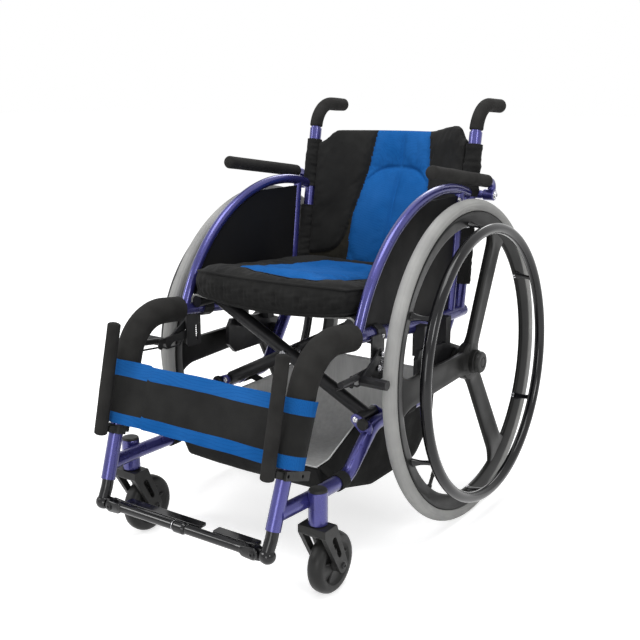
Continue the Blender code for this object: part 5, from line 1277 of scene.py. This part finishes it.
back_pad = puffed(back_pad, back_kept, 0.0045, 0.010)
points, normals = read(back_pad.data), read(back_pad.data, "normal")
x, z = points[:, 0], points[:, 2]
ahead = np.clip(-normals[:, 1] * 2 - 0.6, 0, 1)
outside = np.abs(x) > stripe_half(z)
lifted = np.where(outside, 1 / (1 + np.exp(-(z - panel_low(x)) / 0.0012)), 0.45)
sewn = back_seams(points)
puff = 0.0042 * lifted * (1 - sewn) - 0.0022 * sewn
puff = puff + 0.0008 * ripples(points * (1, 0.3, 1), 0.060, 3)
puff = puff + 0.0005 * ripples(points * (1, 0.3, 0.4), 0.022, 13)
points[:, 1] -= ahead * puff * np.sqrt(np.clip(from_rim(x, z) / RIM_ROUND, 0, 1))
moved(back_pad, points)
back_pad.data.shade_smooth()
fitted(back_pad, "frame_left", black_nylon, "backrest")
back_pad.data.materials.append(blue_knit)
back_pad.data.materials.append(olive_nylon)
centres, facing = faces_of(back_pad)
in_stripe = np.abs(centres[:, 0]) < stripe_half(centres[:, 2])
base_cloth = ~in_stripe & (centres[:, 2] < panel_low(centres[:, 0]))
coloured(back_pad, np.where(in_stripe & (facing[:, 1] < 0.1), 1, np.where(base_cloth, 2, 0)))
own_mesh(back_pad)
sleeve_part = post_line[(post_line[:, 2] > 0.432) & (post_line[:, 2] < 0.702) & (post_line[:, 1] < 0.135)]
for side, word in SIDES:
    for name, keep in (("low", sleeve_part[:, 2] < 0.564), ("high", sleeve_part[:, 2] > 0.603)):
        line = evenly(sleeve_part[keep] * (side, 1, 1), 0.0014)
        girths = (0.0190, 0.0182, 0.0166, 0.0176, 0.0170, 0.0160)
        girth = np.interp(line[:, 2], (0.43, 0.50, 0.56, 0.603, 0.64, 0.70), girths)
        crease = ripples(line, 0.018, 17 + side)
        radii = girth + (0.0008 if name == "low" else 0.0011) * crease
        sleeve = pipe(f"{word}_post_sleeve_{name}", *round_ended(line, radii, 0.0014, both=True), 40)
        points = read(sleeve.data)
        folds = ripples((points + (0, AXLE_Y, 0)) * (1, 1, 2.5), 0.030, 41 + side)
        moved(sleeve, points + (0.0009 * folds)[:, None] * (0.6, -0.8, 0))
        fitted(sleeve, f"frame_{word}", black_nylon)

# Calf strap: a padded strap in front of both knee foams and round their outer sides, black with a blue band
# along each edge. One end laps over the other and is held by hook tape.

STRAP_LOW, STRAP_HIGH = 0.2405, 0.342
BAND_LOW, BAND_HIGH = 0.2602, 0.3194
LAP = 0.0016
LEG_LEAN = math.atan(LEG_SLOPE)


def strap_line(z, out):
    """Half of the strap's line square to the leg at each height of its axis: round the foam's outer side by
    leg + radius * (cos a, sin a), then nearly straight to the middle, and the mirror image of both."""
    angle = np.radians(np.linspace(32, -90, 30))[None, :]
    radius = 0.0246 + out
    back = radius * np.sin(angle)
    bend_y = leg_y(z) + back * math.cos(LEG_LEAN)
    bend = np.stack([leg_x(z) + radius * np.cos(angle), bend_y, z - back * math.sin(LEG_LEAN)], axis=-1)
    share = np.linspace(1, 0, 50)[None, 1:]
    run_y = bend[:, -1:, 1] + 0.004 * (1 - share) + 0.0012 * np.sin(share * 9 + z * 40)
    run = np.stack([leg_x(z) * share, run_y, bend[:, -1:, 2] + 0 * share], axis=-1)
    half = np.concatenate([bend, run], axis=1)
    return np.concatenate([half, (half * (-1, 1, 1))[:, -2::-1]], axis=1)


rise = np.linspace(STRAP_LOW, STRAP_HIGH, 37)[:, None]
outer_line = strap_line(rise, 0.0029)
inner_line = strap_line(rise, 0.0004)
lap = 1 / (1 + np.exp((outer_line[..., 0] + 0.105) / 0.0008))
outer_line[..., 1:] += LAP * lap[..., None]
inner_line[..., 2] += LAP * lap
edge_share = np.abs((2 * rise - STRAP_LOW - STRAP_HIGH) / (STRAP_HIGH - STRAP_LOW))
outer_line[..., 1] += 0.0010 * edge_share**12
outer_line[..., 1] += 0.0007 * (near(rise - BAND_HIGH, 0.0009) + near(rise - BAND_LOW, 0.0009))
strap = skin("strap_band", np.concatenate([outer_line, inner_line[::-1]]), round_u=True)
fitted(strap, "frame_left", black_nylon, "calf_strap")
strap.data.materials.append(blue_knit)
centres = faces_of(strap)[0]
on_bend = np.abs(centres[:, 0]) > leg_x(centres[:, 2]) - 0.001
along_leg = (centres[:, 2] - LEG_Z) * math.cos(LEG_LEAN) + (centres[:, 1] - LEG_Y) * math.sin(LEG_LEAN)
straight = centres[:, 2] - 0.0275 * math.sin(LEG_LEAN)
heights = np.where(on_bend, LEG_Z + along_leg * math.cos(LEG_LEAN), straight)
coloured(strap, (heights > BAND_HIGH) | (heights < BAND_LOW))
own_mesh(strap)

# Storage bag: nylon outside and a grey coated lining inside, hung between the lower rails on webbing loops.

grey_lining, tree, shader, place = new_finish(
    "grey_lining", (0.74, 0.74, 0.73), 0.75, Specular_IOR_Level=0.2
)
stretch = node(tree, "Mapping", {"Vector": place, "Scale": (120.0, 120.0, 14.0)})
crease_and_shade = node(tree, "TexNoise", {"Vector": stretch.outputs[0], "Scale": 1.0, "Detail": 4.0})
# The same noise sets the crease relief and the grey: a darker grey in the crease troughs and a lighter grey
# on the ridges, painted shade and light that follow the relief.
feeds = {0: crease_and_shade.outputs[0], 6: (0.58, 0.58, 0.57, 1), 7: (0.88, 0.88, 0.87, 1)}
tree.links.new(node(tree, "Mix", feeds, data_type="RGBA").outputs[2], shader.inputs["Base Color"])
raised(tree, shader, crease_and_shade.outputs[0], 0.0006, 0.6)
tree.links.new(between(tree, place, 0.6, 0.85, 40.0), shader.inputs["Roughness"])

bag_corners = [(0, -0.366, 0.188), (0, -0.345, 0.140), (0, -0.190, 0.098)]
bag_corners += [(0, -0.025, 0.098), (0, 0.046, 0.160), (0, 0.052, 0.258)]
bag_curve = evenly(bent(bag_corners, (0.02, 0.06, 0.05, 0.05)), 0.006)
bag_way = np.gradient(bag_curve, axis=0)
bag_way /= np.linalg.norm(bag_way, axis=1, keepdims=True)
lining_curve = bag_curve + 0.0028 * np.stack([0 * bag_way[:, 0], -bag_way[:, 2], bag_way[:, 1]], axis=1)


def below_rail(z):
    """0 above the lower rail, 1 at the bag's floor."""
    return np.clip((0.24 - z) / 0.14, 0, 1)


def bag_sheet(half, curve, seed):
    """The bag's floor and ends as one sheet, sagging by 1 - (x / half)^2 and creased by ripples."""
    across = np.linspace(-1, 1, 61)[:, None]
    y, z = curve[None, :, 1], curve[None, :, 2]
    slack = (1 - across**2) * below_rail(z)
    points = np.stack([across * half + 0 * y, y + 0 * across, z - 0.006 * slack], axis=-1)
    points[..., 2] += 0.0012 * ripples(points, 0.07, seed) * slack
    return points


def bag_wall(side, half, curve, seed):
    """A side wall from the floor's edge up to a top edge that follows the rail."""
    share = np.linspace(0, 1, 16)[:, None]
    y, low = curve[None, :, 1], curve[None, :, 2]
    tops = (0.190, 0.192, 0.230, 0.232, 0.260)
    high = np.interp(curve[:, 1], (-0.366, -0.330, -0.245, -0.04, 0.052), tops)[None]
    z = low + np.maximum(high - low, 0.0005) * share
    x = side * (half + 0.004 * np.sin(math.pi * share) * below_rail(low))
    points = np.stack([x + 0 * z, y + 0 * z, z], axis=-1)
    points[..., 0] += side * 0.0012 * ripples(points, 0.06, seed) * np.sin(math.pi * share)
    return points


def bag(name, half, curve):
    """Floor, ends and both side walls."""
    sheets = [skin(f"{name}_floor", bag_sheet(half, curve, 21))]
    sheets += [skin(f"{name}_side", bag_wall(side, half, curve, 23 + side)) for side in (-1, 1)]
    return merged(name, sheets)


shell = bag("bag_shell", 0.152, bag_curve)
fitted(shell, "frame_left", black_nylon, "storage_bag")
lining = bag("bag_lining", 0.1492, lining_curve)
fitted(lining, "frame_left", grey_lining)
for piece in (shell, lining):
    wall = piece.modifiers.new("cloth", "SOLIDIFY")
    wall.thickness = 0.0012
    wall.offset = 0.0
    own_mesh(piece)
for side, word in SIDES:
    for k, (start, end) in enumerate(((-0.362, -0.342), (-0.140, -0.115))):
        part = rail_line[(rail_line[:, 1] > start - 0.004) & (rail_line[:, 1] < end + 0.004)]
        loop = pipe(f"{word}_bag_loop_{k}", evenly(part * (side, 1, 1), 0.003), 0.0148, 32)
        fitted(loop, f"frame_{word}", black_nylon)
        wall_z, rail_z = ((0.188, 0.172), (0.2285, 0.236))[k]
        strip = [(0.1512, wall_z), (0.1765, rail_z), (0.1765, rail_z + 0.0018), (0.1512, wall_z + 0.0018)]
        strip = [(side * x, z) for x, z in strip]
        web = slab(f"{word}_bag_web_{k}", strip, start, end, 1, 0.0004)
        fitted(web, "frame_left", black_nylon)
        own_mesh(web)
